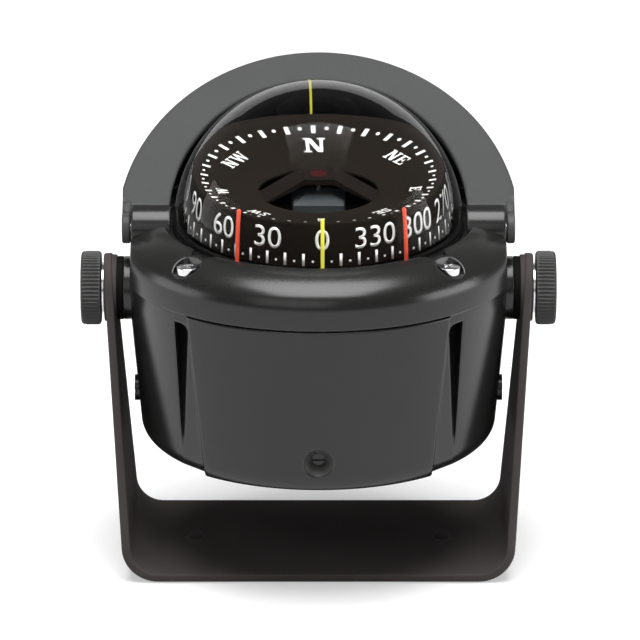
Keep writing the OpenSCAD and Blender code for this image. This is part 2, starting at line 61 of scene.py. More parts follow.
MM = 0.001
TURN = 2 * np.pi
IMAGE_PIXELS = 640
LOG = logging.getLogger("compass")

# Heights in millimetres that several sub-assemblies share
TILT_Z = 99.0
SEAM_Z = 106.0
HOOD_Z = 121.5

DUST_COLOR = (0.55, 0.53, 0.5, 1.0)


class Axis(Enum):
    """Axis that a turned shape goes round; the value shifts (across, across, along) into (x, y, z)."""

    Z = 0
    X = 1
    Y = 2


class Side(Enum):
    """Left or right of the compass, as a sign along X."""

    LEFT = -1
    RIGHT = 1


@dataclass
class Patch:
    """A surface: its points in millimetres, and arrays of faces with equal corner counts."""

    points: Array
    faces: list[Array]

    def moved(self, turn: Array = np.eye(3), shift: Sequence[float] = (0, 0, 0)) -> "Patch":
        """Return the patch turned by a 3 x 3 matrix and then shifted."""
        return Patch(self.points @ turn.T + np.asarray(shift, float), self.faces)

    def mirrored(self) -> "Patch":
        """Return the patch mirrored from one side of the compass to the other."""
        return Patch(self.points * (-1, 1, 1), [block[:, ::-1] for block in self.faces])

    def facing(self, toward: Callable[[Array], Array]) -> "Patch":
        """Turn faces round where they look away from a direction.

        Args:
            toward: Gives the wanted direction at each face's first corner.

        Returns:
            The patch with every face looking along its wanted direction.
        """
        blocks = []
        for block in self.faces:
            first, second, last = (self.points[block[:, k]] for k in (0, 1, -1))
            normal = np.cross(second - first, last - first)
            away = np.sum(normal * toward(first), axis=1) < 0
            blocks.append(np.where(away[:, None], block[:, ::-1], block))
        return Patch(self.points, blocks)


def join(*patches: Patch) -> Patch:
    """Put several patches into one, with the faces renumbered."""
    starts = np.cumsum([0] + [len(p.points) for p in patches[:-1]])
    faces = [block + start for patch, start in zip(patches, starts) for block in patch.faces]
    return Patch(np.concatenate([p.points for p in patches]), faces)


def grid(
    points: Array,
    close_rows: bool = False,
    close_cols: bool = False,
    windows: Sequence[tuple[slice, slice]] = (),
) -> Patch:
    """Join a grid of points by quads.

    Args:
        points: Array of shape (..., rows, cols, 3); leading axes are separate grids.
        close_rows: Whether the last row joins the first.
        close_cols: Whether the last column joins the first.
        windows: Row and column ranges that stay open, given between their border points.

    Returns:
        The patch of all quads outside the windows.
    """
    index = np.arange(points[..., 0].size).reshape(points.shape[:-1])
    if close_rows:
        index = np.concatenate([index, index[..., :1, :]], axis=-2)
    if close_cols:
        index = np.concatenate([index, index[..., :1]], axis=-1)
    corners = (index[..., :-1, :-1], index[..., :-1, 1:], index[..., 1:, 1:], index[..., 1:, :-1])
    quads = np.stack(corners, axis=-1)
    keep = np.ones(quads.shape[:-1], bool)
    for rows, cols in windows:
        keep[..., rows.start : rows.stop - 1, cols.start : cols.stop - 1] = False
    return Patch(points.reshape(-1, 3), [quads[keep].reshape(-1, 4)])


def capped(section: Array) -> Patch:
    """Join a section's carried points by quads and close both ends.

    Args:
        section: Points of shape (rows, cols, 3); an even number of rows runs once round the section.

    Returns:
        The closed body; each end is a strip between the two halves of the section.
    """
    half = len(section) // 2
    caps = [grid(np.stack([section[:half, end], section[: half - 1 : -1, end]])) for end in (0, -1)]
    return join(grid(section, close_rows=True), *caps)


def window_rim(points: Array, rows: slice, cols: slice) -> Array:
    """Return the border points of a grid's window as one loop, in order round it."""
    part = points[rows, cols]
    return np.concatenate([part[0, :-1], part[:-1, -1], part[-1, :0:-1], part[:0:-1, 0]])


def pocket(
    rim: Array,
    centre: tuple[float, float],
    profile: Array,
    plane: tuple[int, int, int],
    height: Callable[[Array, Array, Array], Array],
) -> Patch:
    """Fill a grid's window with a round pocket.

    The border loop closes in on a circle in two steps along the surface. The circle then follows the
    profile, whose points are (radius, depth), with every loop at the border's own angles.

    Args:
        rim: Border points of the window, shape (n, 3).
        centre: Middle of the pocket in the two plane axes.
        profile: Radius and depth of each loop, from the mouth inward.
        plane: Indices of the two plane axes and of the depth axis.
        height: Gives the depth axis from the two plane coordinates and the depth.

    Returns:
        The pocket's patch, which starts on the border points.
    """
    u_axis, v_axis, w_axis = plane
    middle = np.array(centre)
    flat = rim[:, [u_axis, v_axis]] - middle
    angle = np.arctan2(flat[:, 1], flat[:, 0])
    circle = np.stack([np.cos(angle), np.sin(angle)], axis=-1)
    steps = np.array([1 / 3, 2 / 3])[:, None, None]
    closing = flat * (1 - steps) + circle * profile[0, 0] * steps
    loops = np.concatenate([closing, circle * profile[:, 0, None, None]]) + middle
    depth = np.concatenate([np.zeros(len(steps)), profile[:, 1]])[:, None]
    points = np.empty(loops.shape[:2] + (3,))
    points[..., u_axis] = loops[..., 0]
    points[..., v_axis] = loops[..., 1]
    points[..., w_axis] = height(loops[..., 0], loops[..., 1], depth)
    return grid(np.concatenate([rim[None], points]), close_cols=True)


def bend(before: Array, corner: Array, after: Array, cut: float | Array, steps: int = 5) -> Array:
    """Round a corner by a quadratic curve that leaves the legs at a distance from the corner.

    Args:
        before: Points on the leg that comes in, shape (..., dim).
        corner: The corner points.
        after: Points on the leg that goes out.
        cut: Distance from the corner along each leg, at most 0.45 of the leg.
        steps: Points along the curve.

    Returns:
        The curve's points, with the steps as the first axis.
    """
    ends = []
    for leg in (before - corner, after - corner):
        length = np.linalg.norm(leg, axis=-1, keepdims=True)
        reach = np.minimum(np.asarray(cut, float)[..., None], 0.45 * length)
        ends.append(corner + leg / np.maximum(length, 1e-9) * reach)
    t = np.linspace(0, 1, steps).reshape((-1,) + (1,) * corner.ndim)
    return (1 - t) ** 2 * ends[0] + 2 * t * (1 - t) * corner + t**2 * ends[1]


def span(start: Array, end: Array, steps: int) -> Array:
    """Return points strictly between two ends, with the steps as the first axis."""
    t = (np.arange(1, steps + 1) / (steps + 1)).reshape((-1,) + (1,) * np.ndim(start))
    return start * (1 - t) + end * t


def rounded(corners: Sequence[Sequence[float]], cuts: float | Sequence[float], steps: int = 5) -> Array:
    """Round every corner of a closed outline, or of an open one whose end cuts are zero.

    Args:
        corners: The outline's corners.
        cuts: Distance from each corner at which its curve starts.
        steps: Points along each curve.

    Returns:
        The rounded outline's points.
    """
    points = np.array(corners, float)
    cut = np.broadcast_to(np.asarray(cuts, float), len(points))
    curves = bend(np.roll(points, 1, axis=0), points, np.roll(points, -1, axis=0), cut, steps)
    return curves.transpose(1, 0, 2).reshape(-1, points.shape[1])


def open_profile(corners: Sequence[Sequence[float]], cut: float, steps: int = 5) -> Array:
    """Round the inner corners of an open outline and keep its two ends sharp."""
    cuts = np.full(len(corners), cut)
    cuts[[0, -1]] = 0
    return rounded(corners, cuts, steps)


def arc(centre: tuple[float, float], radius: float, start: float, end: float, steps: int) -> Array:
    """Return points on a circle between two angles in degrees."""
    angle = np.radians(np.linspace(start, end, steps))
    return np.array(centre) + radius * np.stack([np.cos(angle), np.sin(angle)], axis=-1)


def lathe(
    profile: Array,
    axis: Axis = Axis.Z,
    centre: Sequence[float] = (0, 0, 0),
    sides: int = 128,
    closed: bool = False,
    ripple: Optional[Array] = None,
) -> Patch:
    """Carry a profile of (radius, height) points round an axis.

    Args:
        profile: The profile, shape (n, 2).
        axis: Axis of the turn; the height runs along it.
        centre: Point that the axis goes through and that heights start from.
        sides: Points round the turn.
        closed: Whether the profile's last point joins its first.
        ripple: What is taken off the radius, shape (n, sides).

    Returns:
        The surface of revolution.
    """
    angle = np.linspace(0, TURN, sides, endpoint=False)
    radius = np.broadcast_to(profile[:, :1], (len(profile), sides))
    if ripple is not None:
        radius = radius - ripple
    height = np.broadcast_to(profile[:, 1:], radius.shape)
    points = np.stack([radius * np.cos(angle), radius * np.sin(angle), height], axis=-1)
    return grid(np.roll(points, axis.value, axis=-1) + np.array(centre, float), closed, True)


def ring(r_out: float, r_in: float, low: float, high: float, cut: float, **turn) -> Patch:
    """Return a turned ring of rectangular section with rounded edges."""
    corners = [(r_in, low), (r_out, low), (r_out, high), (r_in, high)]
    return lathe(rounded(corners, cut), closed=True, **turn)


def turn_x(degrees: float) -> Array:
    """Return the matrix of a turn about X that tips +Z toward -Y."""
    c, s = np.cos(np.radians(degrees)), np.sin(np.radians(degrees))
    return np.array([[1, 0, 0], [0, c, -s], [0, s, c]])


def turn_z(degrees: float) -> Array:
    """Return the matrix of a turn about Z, counter-clockwise from above."""
    c, s = np.cos(np.radians(degrees)), np.sin(np.radians(degrees))
    return np.array([[c, -s, 0], [s, c, 0], [0, 0, 1]])


class NodeTree:
    """Short hand for adding and linking shader nodes."""

    def __init__(self, tree: bpy.types.NodeTree) -> None:
        """Keep the tree that nodes go into."""
        self.tree = tree

    def add(self, kind: str, **values) -> bpy.types.Node:
        """Add a node and set its properties and inputs.

        Args:
            kind: Blender's type name of the node, without the ShaderNode prefix.
            **values: Properties by name, or inputs by name with underscores for spaces.
                A value that is a socket is linked.

        Returns:
            The new node.
        """
        node = self.tree.nodes.new("ShaderNode" + kind)
        for name, value in values.items():
            if hasattr(node, name):
                setattr(node, name, value)
            else:
                self.put(node, name.replace("_", " "), value)
        return node

    def put(self, node: bpy.types.Node, name: str, value) -> None:
        """Link a socket to a node's input, or set the input's own value."""
        number = name.removeprefix("in ")
        socket = node.inputs[int(number)] if number.isdigit() else node.inputs[name]
        if isinstance(value, bpy.types.NodeSocket):
            self.tree.links.new(value, socket)
        else:
            socket.default_value = value

    def math(self, operation: str, *values) -> bpy.types.NodeSocket:
        """Return the result of a Math node on numbers or sockets."""
        node = self.add("Math", operation=operation)
        for number, value in enumerate(values):
            self.put(node, f"in {number}", value)
        return node.outputs[0]

    def blend(self, factor, first, second) -> bpy.types.NodeSocket:
        """Return a colour mixed from two by a factor."""
        node = self.add("Mix", data_type="RGBA")
        for number, value in ((0, factor), (6, first), (7, second)):
            self.put(node, f"in {number}", value)
        return node.outputs[2]


def group_tree(name: str, inputs: dict[str, float], outputs: Sequence[str]) -> tuple:
    """Start a shader node group with float sockets.

    Args:
        name: Name of the group.
        inputs: Names of the inputs and their defaults.
        outputs: Names of the outputs.

    Returns:
        The group, its node helper, its input node and its output node.
    """
    group = bpy.data.node_groups.new(name, "ShaderNodeTree")
    for label, value in inputs.items():
        socket = group.interface.new_socket(label, in_out="INPUT", socket_type="NodeSocketFloat")
        socket.default_value = value
    for label in outputs:
        group.interface.new_socket(label, in_out="OUTPUT", socket_type="NodeSocketFloat")
    source = group.nodes.new("NodeGroupInput")
    sink = group.nodes.new("NodeGroupOutput")
    return group, NodeTree(group), source, sink


@functools.cache
def moulded_grain() -> bpy.types.NodeTree:
    """Group: a fine pebbled skin as a height, and a broad soft unevenness as a value."""
    inputs = {"Grain Scale": 2200.0, "Blotch Scale": 40.0}
    group, net, source, sink = group_tree("moulded_grain", inputs, ("Height", "Blotch"))
    place = net.add("TexCoord").outputs["Object"]
    fine = net.add("TexNoise", Vector=place, Scale=source.outputs["Grain Scale"], Detail=2.0)
    broad = net.add("TexNoise", Vector=place, Scale=source.outputs["Blotch Scale"], Detail=3.0)
    net.put(sink, "Height", fine.outputs["Fac"])
    net.put(sink, "Blotch", broad.outputs["Fac"])
    return group


@functools.cache
def edge_wear() -> bpy.types.NodeTree:
    """Group: a mask of lighter edges, partly rubbed wear and partly a painted highlight, from the mesh's own
    edge attribute broken up by noise.
    """
    group, net, source, sink = group_tree("edge_wear", {"Amount": 0.5}, ("Mask",))
    edge = net.add("Attribute", attribute_name="edge").outputs["Fac"]
    place = net.add("TexCoord").outputs["Object"]
    patchy = net.add("TexNoise", Vector=place, Scale=160.0, Detail=4.0).outputs["Fac"]
    rubbed_and_lit = net.math("MULTIPLY", edge, net.math("SMOOTH_MIN", patchy, 0.7, 0.2))
    net.put(sink, "Mask", net.math("MULTIPLY", rubbed_and_lit, source.outputs["Amount"]))
    return group


@functools.cache
def settled_dust() -> bpy.types.NodeTree:
    """Group: a mask of fine dust that lies on faces that look up."""
    group, net, source, sink = group_tree("settled_dust", {"Amount": 0.1}, ("Mask",))
    normal = net.add("NewGeometry").outputs["Normal"]
    upward = net.add("SeparateXYZ", Vector=normal).outputs["Z"]
    place = net.add("TexCoord").outputs["Object"]
    specks = net.add("TexNoise", Vector=place, Scale=900.0, Detail=5.0).outputs["Fac"]
    lying = net.math("MULTIPLY", net.math("MAXIMUM", upward, 0.0), specks)
    net.put(sink, "Mask", net.math("MULTIPLY", lying, source.outputs["Amount"]))
    return group


def new_material(name: str) -> tuple[bpy.types.Material, NodeTree, bpy.types.Node]:
    """Start a material and return it with its node helper and its Principled shader.

    Args:
        name: Name of the material.

    Returns:
        The material, its node helper and its shader.
    """
    material = bpy.data.materials.new(name)
    material.use_nodes = True
    return material, NodeTree(material.node_tree), material.node_tree.nodes["Principled BSDF"]


@dataclass(frozen=True)
class Finish:
    """A solid finish: moulded plastic, paint, rubber or print.

    Attributes:
        slot: The record's material slot; not used.
        color: Base colour.
        roughness: Mean roughness.
        spread: How far the roughness wanders.
        grain: Depth of the skin's grain in millimetres.
        grain_scale: Grains per metre.
        worn: Colour of the lighter edges, partly rubbed wear and partly a painted highlight.
        wear: Strength of those lighter edges.
        dust: Strength of settled dust.
        coat: Weight of the skin's sheen.
        metallic: Metal or not.
        specular: Specular level.
    """

    slot: str
    color: Color
    roughness: float
    spread: float = 0.1
    grain: float = 0.02
    grain_scale: float = 2200.0
    worn: Color = (0.3, 0.3, 0.3)
    wear: float = 0.25
    dust: float = 0.02
    coat: float = 0.0
    metallic: float = 0.0
    specular: float = 0.5

    def build(self, name: str) -> bpy.types.Material:
        """Build the material.

        Args:
            name: Name of the material.

        Returns:
            The material, with grain, lighter edges of wear and painted highlight, and dust from the shared
            groups.
        """
        material, net, shader = new_material(name)
        grain = net.add("Group", node_tree=moulded_grain(), Grain_Scale=self.grain_scale)
        wear = net.add("Group", node_tree=edge_wear(), Amount=self.wear)
        dust = net.add("Group", node_tree=settled_dust(), Amount=self.dust)
        blotch = grain.outputs["Blotch"]
        swing = 0.15
        darker = tuple((1 - swing) * c for c in self.color) + (1.0,)
        lighter = tuple(min(1.0, (1 + swing) * c) for c in self.color) + (1.0,)
        tone = net.blend(blotch, darker, lighter)
        # Lighter convex edges: partly rubbed wear, partly a painted highlight
        rubbed_and_lit = net.blend(wear.outputs["Mask"], tone, self.worn + (1.0,))
        dusted = net.blend(dust.outputs["Mask"], rubbed_and_lit, DUST_COLOR)
        wander = net.math("MULTIPLY_ADD", blotch, 2 * self.spread, self.roughness - self.spread)
        skin = net.add("Bump", Strength=0.6, Distance=self.grain * MM, Height=grain.outputs["Height"])
        net.put(shader, "Base Color", dusted)
        net.put(shader, "Roughness", wander)
        net.put(shader, "Normal", skin.outputs["Normal"])
        net.put(shader, "Metallic", self.metallic)
        net.put(shader, "Specular IOR Level", self.specular)
        net.put(shader, "Coat Weight", self.coat)
        net.put(shader, "Coat Roughness", self.roughness)
        return material


@dataclass(frozen=True)
class Clear:
    """Polished clear acrylic over damping liquid, which lets lamps through to what is inside.

    Attributes:
        slot: The record's material slot; not used.
        ior: Refractive index of the acrylic and the liquid together.
        haze: Roughness of the finest wiping marks.
    """

    slot: str
    ior: float = 1.42
    haze: float = 0.02

    def build(self, name: str) -> bpy.types.Material:
        """Build the material.

        Args:
            name: Name of the material.

        Returns:
            The material.
        """
        material, net, shader = new_material(name)
        grain = net.add("Group", node_tree=moulded_grain(), Blotch_Scale=60.0)
        net.put(shader, "Roughness", net.math("MULTIPLY", grain.outputs["Blotch"], self.haze))
        net.put(shader, "Transmission Weight", 1.0)
        net.put(shader, "IOR", self.ior)
        net.put(shader, "Specular Tint", (0.0, 0.0, 0.0, 1.0))
        net.put(shader, "Base Color", (0.99, 0.985, 0.97, 1.0))
        shadow = net.add("LightPath").outputs["Is Shadow Ray"]
        through = net.add("BsdfTransparent").outputs[0]
        mixed = net.add("MixShader", in_0=shadow, in_1=shader.outputs[0], in_2=through)
        output = material.node_tree.nodes["Material Output"]
        net.put(output, "Surface", mixed.outputs[0])
        return material


class Look(Enum):
    """The finishes of the compass."""

    BRACKET = Finish("bracket_paint", (0.062, 0.054, 0.053), 0.42, 0.05, 0.03, 700, (0.2, 0.19, 0.19), 0.3,
                     coat=0.04, specular=0.0)
    STEEL = Finish("bright_steel", (0.72, 0.72, 0.73), 0.24, 0.06, 0.004, 3000, (0.9, 0.9, 0.9), 0.2, 0.0,
                   metallic=1.0)
    KNOB = Finish("knob_plastic", (0.035, 0.0335, 0.033), 0.40, 0.06, 0.015, coat=0.5, specular=0.0)
    CASE = Finish("case_plastic", (0.010, 0.010, 0.0097), 0.24, 0.04, 0.012, coat=0.8, specular=0.0)
    # Painted light: a lighter copy of the case plastic for the recess funnel, standing in for light on its
    # lower wall
    RECESS = Finish("case_plastic", (0.06, 0.06, 0.058), 0.4, 0.04, 0.012, coat=0.5, specular=0.0)
    # The hood plastic is set about three times lighter than the case plastic; that difference is painted
    # light on the hood's face
    HOOD = Finish("hood_plastic", (0.029, 0.030, 0.031), 0.40, 0.05, 0.012, coat=0.36, specular=0.0)
    # Painted shade: a near-black copy of the hood plastic, laid inside the hood so that its inside stays dark
    LINING = Finish("hood_plastic", (0.003, 0.003, 0.003), 0.9, 0.05, 0.0, wear=0.0, dust=0.0, specular=0.0)
    RUBBER = Finish("black_rubber", (0.008, 0.008, 0.008), 0.75, 0.08, 0.01, wear=0.0, specular=0.0)
    BOWL = Finish("case_plastic", (0.005, 0.005, 0.005), 0.7, 0.05, 0.01, wear=0.0, dust=0.0, specular=0.0)
    BRASS = Finish("brass", (0.75, 0.6, 0.32), 0.32, 0.08, 0.004, 1500, (0.9, 0.8, 0.5), 0.3, 0.0,
                   metallic=1.0)
    LAMP = Finish("lamp_red", (0.6, 0.05, 0.04), 0.2, 0.05, 0.0, wear=0.0, dust=0.0, coat=0.6)
    FRAME = Finish("frame_plastic", (0.008, 0.008, 0.008), 0.7, 0.08, 0.01, wear=0.0, dust=0.0, specular=0.0)
    YELLOW = Finish("lubber_yellow", (0.86, 0.82, 0.06), 0.35, 0.05, 0.004, wear=0.0, dust=0.0)
    RED = Finish("lubber_red", (0.80, 0.085, 0.04), 0.35, 0.05, 0.004, wear=0.0, dust=0.0)
    CARD = Finish("card_black", (0.012, 0.0098, 0.008), 0.7, 0.06, 0.006, wear=0.0, dust=0.0, specular=0.0)
    PEDESTAL = Finish("frame_plastic", (0.044, 0.049, 0.052), 0.7, 0.08, 0.01, wear=0.0, dust=0.0,
                      specular=0.0)
    BRIDGE = Finish("frame_plastic", (0.011, 0.009, 0.008), 0.6, 0.08, 0.01, wear=0.0, dust=0.0, specular=0.0)
    PRINT = Finish("card_black", (0.80, 0.80, 0.78), 0.5, 0.05, 0.002, wear=0.0, dust=0.0)
    JEWEL = Finish("jewel", (0.030, 0.006, 0.007), 0.3, 0.03, 0.0, wear=0.0, dust=0.0, coat=0.2, specular=0.0)
    DOME = Clear("clear_acrylic")

    @functools.cached_property
    def material(self) -> bpy.types.Material:
        """The finish's material, built at its first use."""
        return self.value.build("finish_" + self.name.lower())


def proudness(mesh: bpy.types.Mesh) -> Array:
    """Measure how sharply the surface turns away at each vertex.

    The measure is the mean, over a vertex's edges, of how far the edge dips below the plane of the
    vertex's normal, as a sine. It is 0 on flats and hollows and 1 on a rounded edge.

    Args:
        mesh: The finished mesh.

    Returns:
        One value from 0 to 1 per vertex.
    """
    count = len(mesh.vertices)
    co = np.empty(count * 3, np.float32)
    mesh.vertices.foreach_get("co", co)
    normal = np.empty(count * 3, np.float32)
    mesh.vertex_normals.foreach_get("vector", normal)
    ends = np.empty(len(mesh.edges) * 2, np.int32)
    mesh.edges.foreach_get("vertices", ends)
    co, normal, ends = co.reshape(-1, 3), normal.reshape(-1, 3), ends.reshape(-1, 2)
    both = np.concatenate([ends, ends[:, ::-1]])
    along = co[both[:, 1]] - co[both[:, 0]]
    length = np.maximum(np.linalg.norm(along, axis=1), 1e-9)
    dip = -np.sum(along * normal[both[:, 0]], axis=1) / length
    total = np.bincount(both[:, 0], dip, count) / np.maximum(np.bincount(both[:, 0], minlength=count), 1)
    flat, rise = 0.06, 0.16
    return np.clip((total - flat) / rise, 0, 1)


def build_mesh(name: str, patch: Patch, crease: float, weld: bool) -> bpy.types.Mesh:
    """Put a patch into a mesh in metres.

    Args:
        name: Name of the mesh.
        patch: The surface in millimetres.
        crease: Angle in degrees above which an edge is shaded sharp.
        weld: Whether seams and poles are closed and the faces of closed shells turned outward.

    Returns:
        The mesh.
    """
    mesh = bpy.data.meshes.new(name)
    faces = [face for block in patch.faces for face in block.tolist()]
    mesh.from_pydata((patch.points * MM).tolist(), [], faces)
    if weld:
        bm = bmesh.new()
        bm.from_mesh(mesh)
        bmesh.ops.remove_doubles(bm, verts=bm.verts, dist=0.002 * MM)
        bmesh.ops.dissolve_degenerate(bm, edges=bm.edges, dist=0.001 * MM)
        bmesh.ops.recalc_face_normals(bm, faces=bm.faces)
        bm.to_mesh(mesh)
        bm.free()
    mesh.validate()
    mesh.shade_smooth()
    mesh.set_sharp_from_angle(angle=np.radians(crease))
    return mesh


class Workshop:
    """Makes finished pieces, and dresses the solids that stay."""

    def __init__(self, nodes: dict[str, bpy.types.Object]) -> None:
        """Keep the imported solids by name."""
        self.nodes = nodes

    def piece(
        self,
        name: str,
        patch: Patch,
        look: Look,
        body: str,
        replaces: Sequence[str] = (),
        crease: float = 35.0,
        holes: Optional[Patch] = None,
        film: float = 0.0,
    ) -> bpy.types.Object:
        """Make one piece, ride it on its body and dress it.

        Args:
            name: Name of the piece.
            patch: Its surface in millimetres.
            look: Its finish.
            body: The body that it moves with.
            replaces: Solids that it stands for.
            crease: Angle above which an edge is shaded sharp.
            holes: Closed shapes that are drilled out.
            film: Thickness in millimetres of a printed film; zero for a closed body.

        Returns:
            The piece.
        """
        mesh = build_mesh(name, patch, crease, weld=film == 0)
        obj = bpy.data.objects.new(name, mesh)
        bpy.context.scene.collection.objects.link(obj)
        if holes is not None:
            self.drill(obj, holes, crease)
        edge = obj.data.attributes.new("edge", "FLOAT", "POINT")
        edge.data.foreach_set("value", proudness(obj.data).astype(np.float32))
        if film:
            solid = obj.modifiers.new("film", "SOLIDIFY")
            solid.thickness = film * MM
            solid.offset = -1
        obj.data.materials.append(look.material)
        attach(obj, body)
        if replaces:
            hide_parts(*replaces)
        LOG.info("%s: %d faces on %s", name, len(obj.data.polygons), body)
        return obj

    def drill(self, obj: bpy.types.Object, holes: Patch, crease: float) -> None:
        """Cut closed shapes out of a piece and keep the result as its mesh."""
        cutter = bpy.data.objects.new("cutter", build_mesh("cutter", holes, crease, weld=True))
        bpy.context.scene.collection.objects.link(cutter)
        modifier = obj.modifiers.new("drill", "BOOLEAN")
        modifier.operation = "DIFFERENCE"
        modifier.solver = "EXACT"
        modifier.object = cutter
        cut = obj.evaluated_get(bpy.context.evaluated_depsgraph_get())
        mesh = bpy.data.meshes.new_from_object(cut)
        obj.modifiers.clear()
        obj.data = mesh
        mesh.shade_smooth()
        mesh.set_sharp_from_angle(angle=np.radians(crease))
        bpy.data.objects.remove(cutter)

    def dress(self, look: Look, *names: str) -> None:
        """Give solids that stay in view a finish."""
        for name in names:
            slots = self.nodes[name].data.materials
            slots.clear()
            slots.append(look.material)
            LOG.info("%s: solid dressed as %s", name, look.name.lower())


@dataclass
class Bracket:
    """The bent strap with its two round-tipped arms, bosses and washers.

    Attributes:
        axis_z: Height of the tilt axis.
        arm_x: Outer face of an arm at the tilt axis.
        lean: Outward lean of an arm in degrees.
        strap: Thickness of the strap.
        half_depth: Half of the base's depth.
        bend_r: Outside radius of a bend.
        tip_r: Radius of an arm's tip.
        edge_r: Rounding of the strap's edges.
        hole_x: Distance of a screw hole from the middle.
        hole_r: Radius of a screw hole.
        boss_r: Radius of an arm's boss.
        boss_in: Inner end of the boss along X.
        boss_out: Outer end of the boss along X.
        boss_bore: Radius of the boss's bore.
        washer_r: Outer and inner radius of a washer.
        washer_h: Thickness of a washer.
    """

    axis_z: float = TILT_Z
    arm_x: float = 76.4
    lean: float = 3.8
    strap: float = 3.0
    half_depth: float = 38.0
    bend_r: float = 13.0
    tip_r: float = 12.5
    edge_r: float = 0.7
    hole_x: float = 45.0
    hole_r: float = 2.5
    boss_r: float = 12.0
    boss_in: float = 72.4
    boss_out: float = 77.0
    boss_bore: float = 3.05
    washer_r: tuple[float, float] = (9.0, 3.4)
    washer_h: float = 1.0

    def path(self) -> tuple[Array, Array, Array]:
        """Follow the strap's middle from the base's centre to the right-hand tip.

        Returns:
            Places (x, z) on the middle surface, normals toward the inside, and half depths.
        """
        lean = np.radians(self.lean)
        rise = self.axis_z - self.bend_r
        taper = np.arctan2(self.half_depth, rise) - np.arcsin(self.tip_r / np.hypot(self.half_depth, rise))
        touch_z = self.axis_z + self.tip_r * np.sin(taper)
        touch_w = self.tip_r * np.cos(taper)
        bend_x = self.arm_x + ((self.bend_r - self.axis_z) * np.sin(lean) - self.bend_r) / np.cos(lean)
        middle_r = self.bend_r - self.strap / 2
        turn = np.linspace(0, np.pi / 2 - lean, 22)
        base_x = np.linspace(0, bend_x, 30)[:-1]
        base = np.stack([base_x, np.full_like(base_x, self.strap / 2)], axis=-1)
        curve = np.stack([bend_x + middle_r * np.sin(turn), self.bend_r - middle_r * np.cos(turn)], axis=-1)
        tip = np.linspace(taper, np.pi / 2, 26)[1:]
        straight_z = np.linspace(curve[-1, 1], touch_z, 44)[1:]
        arm_z = np.concatenate([straight_z, self.axis_z + self.tip_r * np.sin(tip)])
        arm = np.stack([curve[-1, 0] + (arm_z - curve[-1, 1]) * np.tan(lean), arm_z], axis=-1)
        place = np.concatenate([base, curve, arm])
        angle = np.concatenate([np.zeros(len(base)), turn, np.full(len(arm), turn[-1])])
        normal = np.stack([-np.sin(angle), np.cos(angle)], axis=-1)
        half = np.interp(place[:, 1], [self.bend_r, touch_z], [self.half_depth, touch_w])
        half[-len(tip) :] = self.tip_r * np.cos(tip)
        return place, normal, half

    def strap_surface(self) -> Patch:
        """Carry a flat section with rounded edges along the bent path.

        Each point lies at a distance d from the strap's outline. The half thickness falls from its full
        value to the edge along a quarter circle as d goes from the edge radius to zero.

        Returns:
            The closed strap.
        """
        place, normal, half = (np.concatenate([part[:0:-1], part]) for part in self.path())
        left = slice(0, len(place) // 2)
        place[left, 0] *= -1
        normal[left, 0] *= -1
        insets = self.edge_r * np.array([0, 0.1, 0.3, 0.6, 1.0])
        inner = np.linspace(-1, 1, 9)[1:-1]
        edge = np.maximum(half[:, None] - insets, 0)
        y = np.concatenate([-edge, edge[:, -1:] * inner, edge[:, ::-1]], axis=1)
        over_tip = np.maximum(place[:, 1:] - self.axis_z, 0)
        inside_tip = self.tip_r - np.hypot(y, over_tip)
        depth = np.where(half[:, None] < self.tip_r, inside_tip, half[:, None] - np.abs(y))
        short = self.edge_r - np.clip(depth, 0, self.edge_r)
        thick = self.strap / 2 - self.edge_r + np.sqrt(self.edge_r**2 - short**2)
        faces = []
        for sign in (1, -1):
            lift = sign * thick
            x = place[:, :1] + normal[:, :1] * lift
            z = place[:, 1:] + normal[:, 1:] * lift
            faces.append(np.stack([x, y, z], axis=-1)[:, ::sign])
        return grid(np.concatenate(faces, axis=1), close_cols=True)

    def boss(self, side: Side) -> Patch:
        """Return the round boss that carries the clamp screw through an arm."""
        low, high, centre = self.boss_in, self.boss_out, (0, 0, self.axis_z)
        shape = ring(self.boss_r, self.boss_bore, low, high, 0.5, axis=Axis.X, centre=centre)
        return shape if side is Side.RIGHT else shape.mirrored()

    def drill(self, side: Side) -> Patch:
        """Return the cutter of one screw hole, which also breaks the hole's two edges.

        Args:
            side: The hole's side.

        Returns:
            The closed cutter.
        """
        r, top = self.hole_r, self.strap
        low_r, top_r = r + 0.4, r + 0.45
        corners = [
            (0, -1), (low_r, -1), (low_r, 0.05), (r, 0.45),
            (r, top - 0.5), (top_r, top - 0.05), (top_r, top + 1), (0, top + 1),
        ]
        return lathe(open_profile(corners, 0.0, 2), centre=(side.value * self.hole_x, 0, 0), sides=48)

    def build(self, shop: Workshop) -> None:
        """Make the strap, the bosses and the washers."""
        drills = join(*map(self.drill, Side))
        shop.piece("bracket_strap", self.strap_surface(), Look.BRACKET, "bracket", ("bracket",), 30, drills)
        shop.piece("bracket_bosses", join(*map(self.boss, Side)), Look.BRACKET, "bracket")
        low, high = self.boss_out, self.boss_out + self.washer_h
        washer = ring(*self.washer_r, low, high, 0.2, axis=Axis.X, centre=(0, 0, self.axis_z))
        shop.piece("clamp_washers", join(washer, washer.mirrored()), Look.STEEL, "bracket", ("knob_washers",))


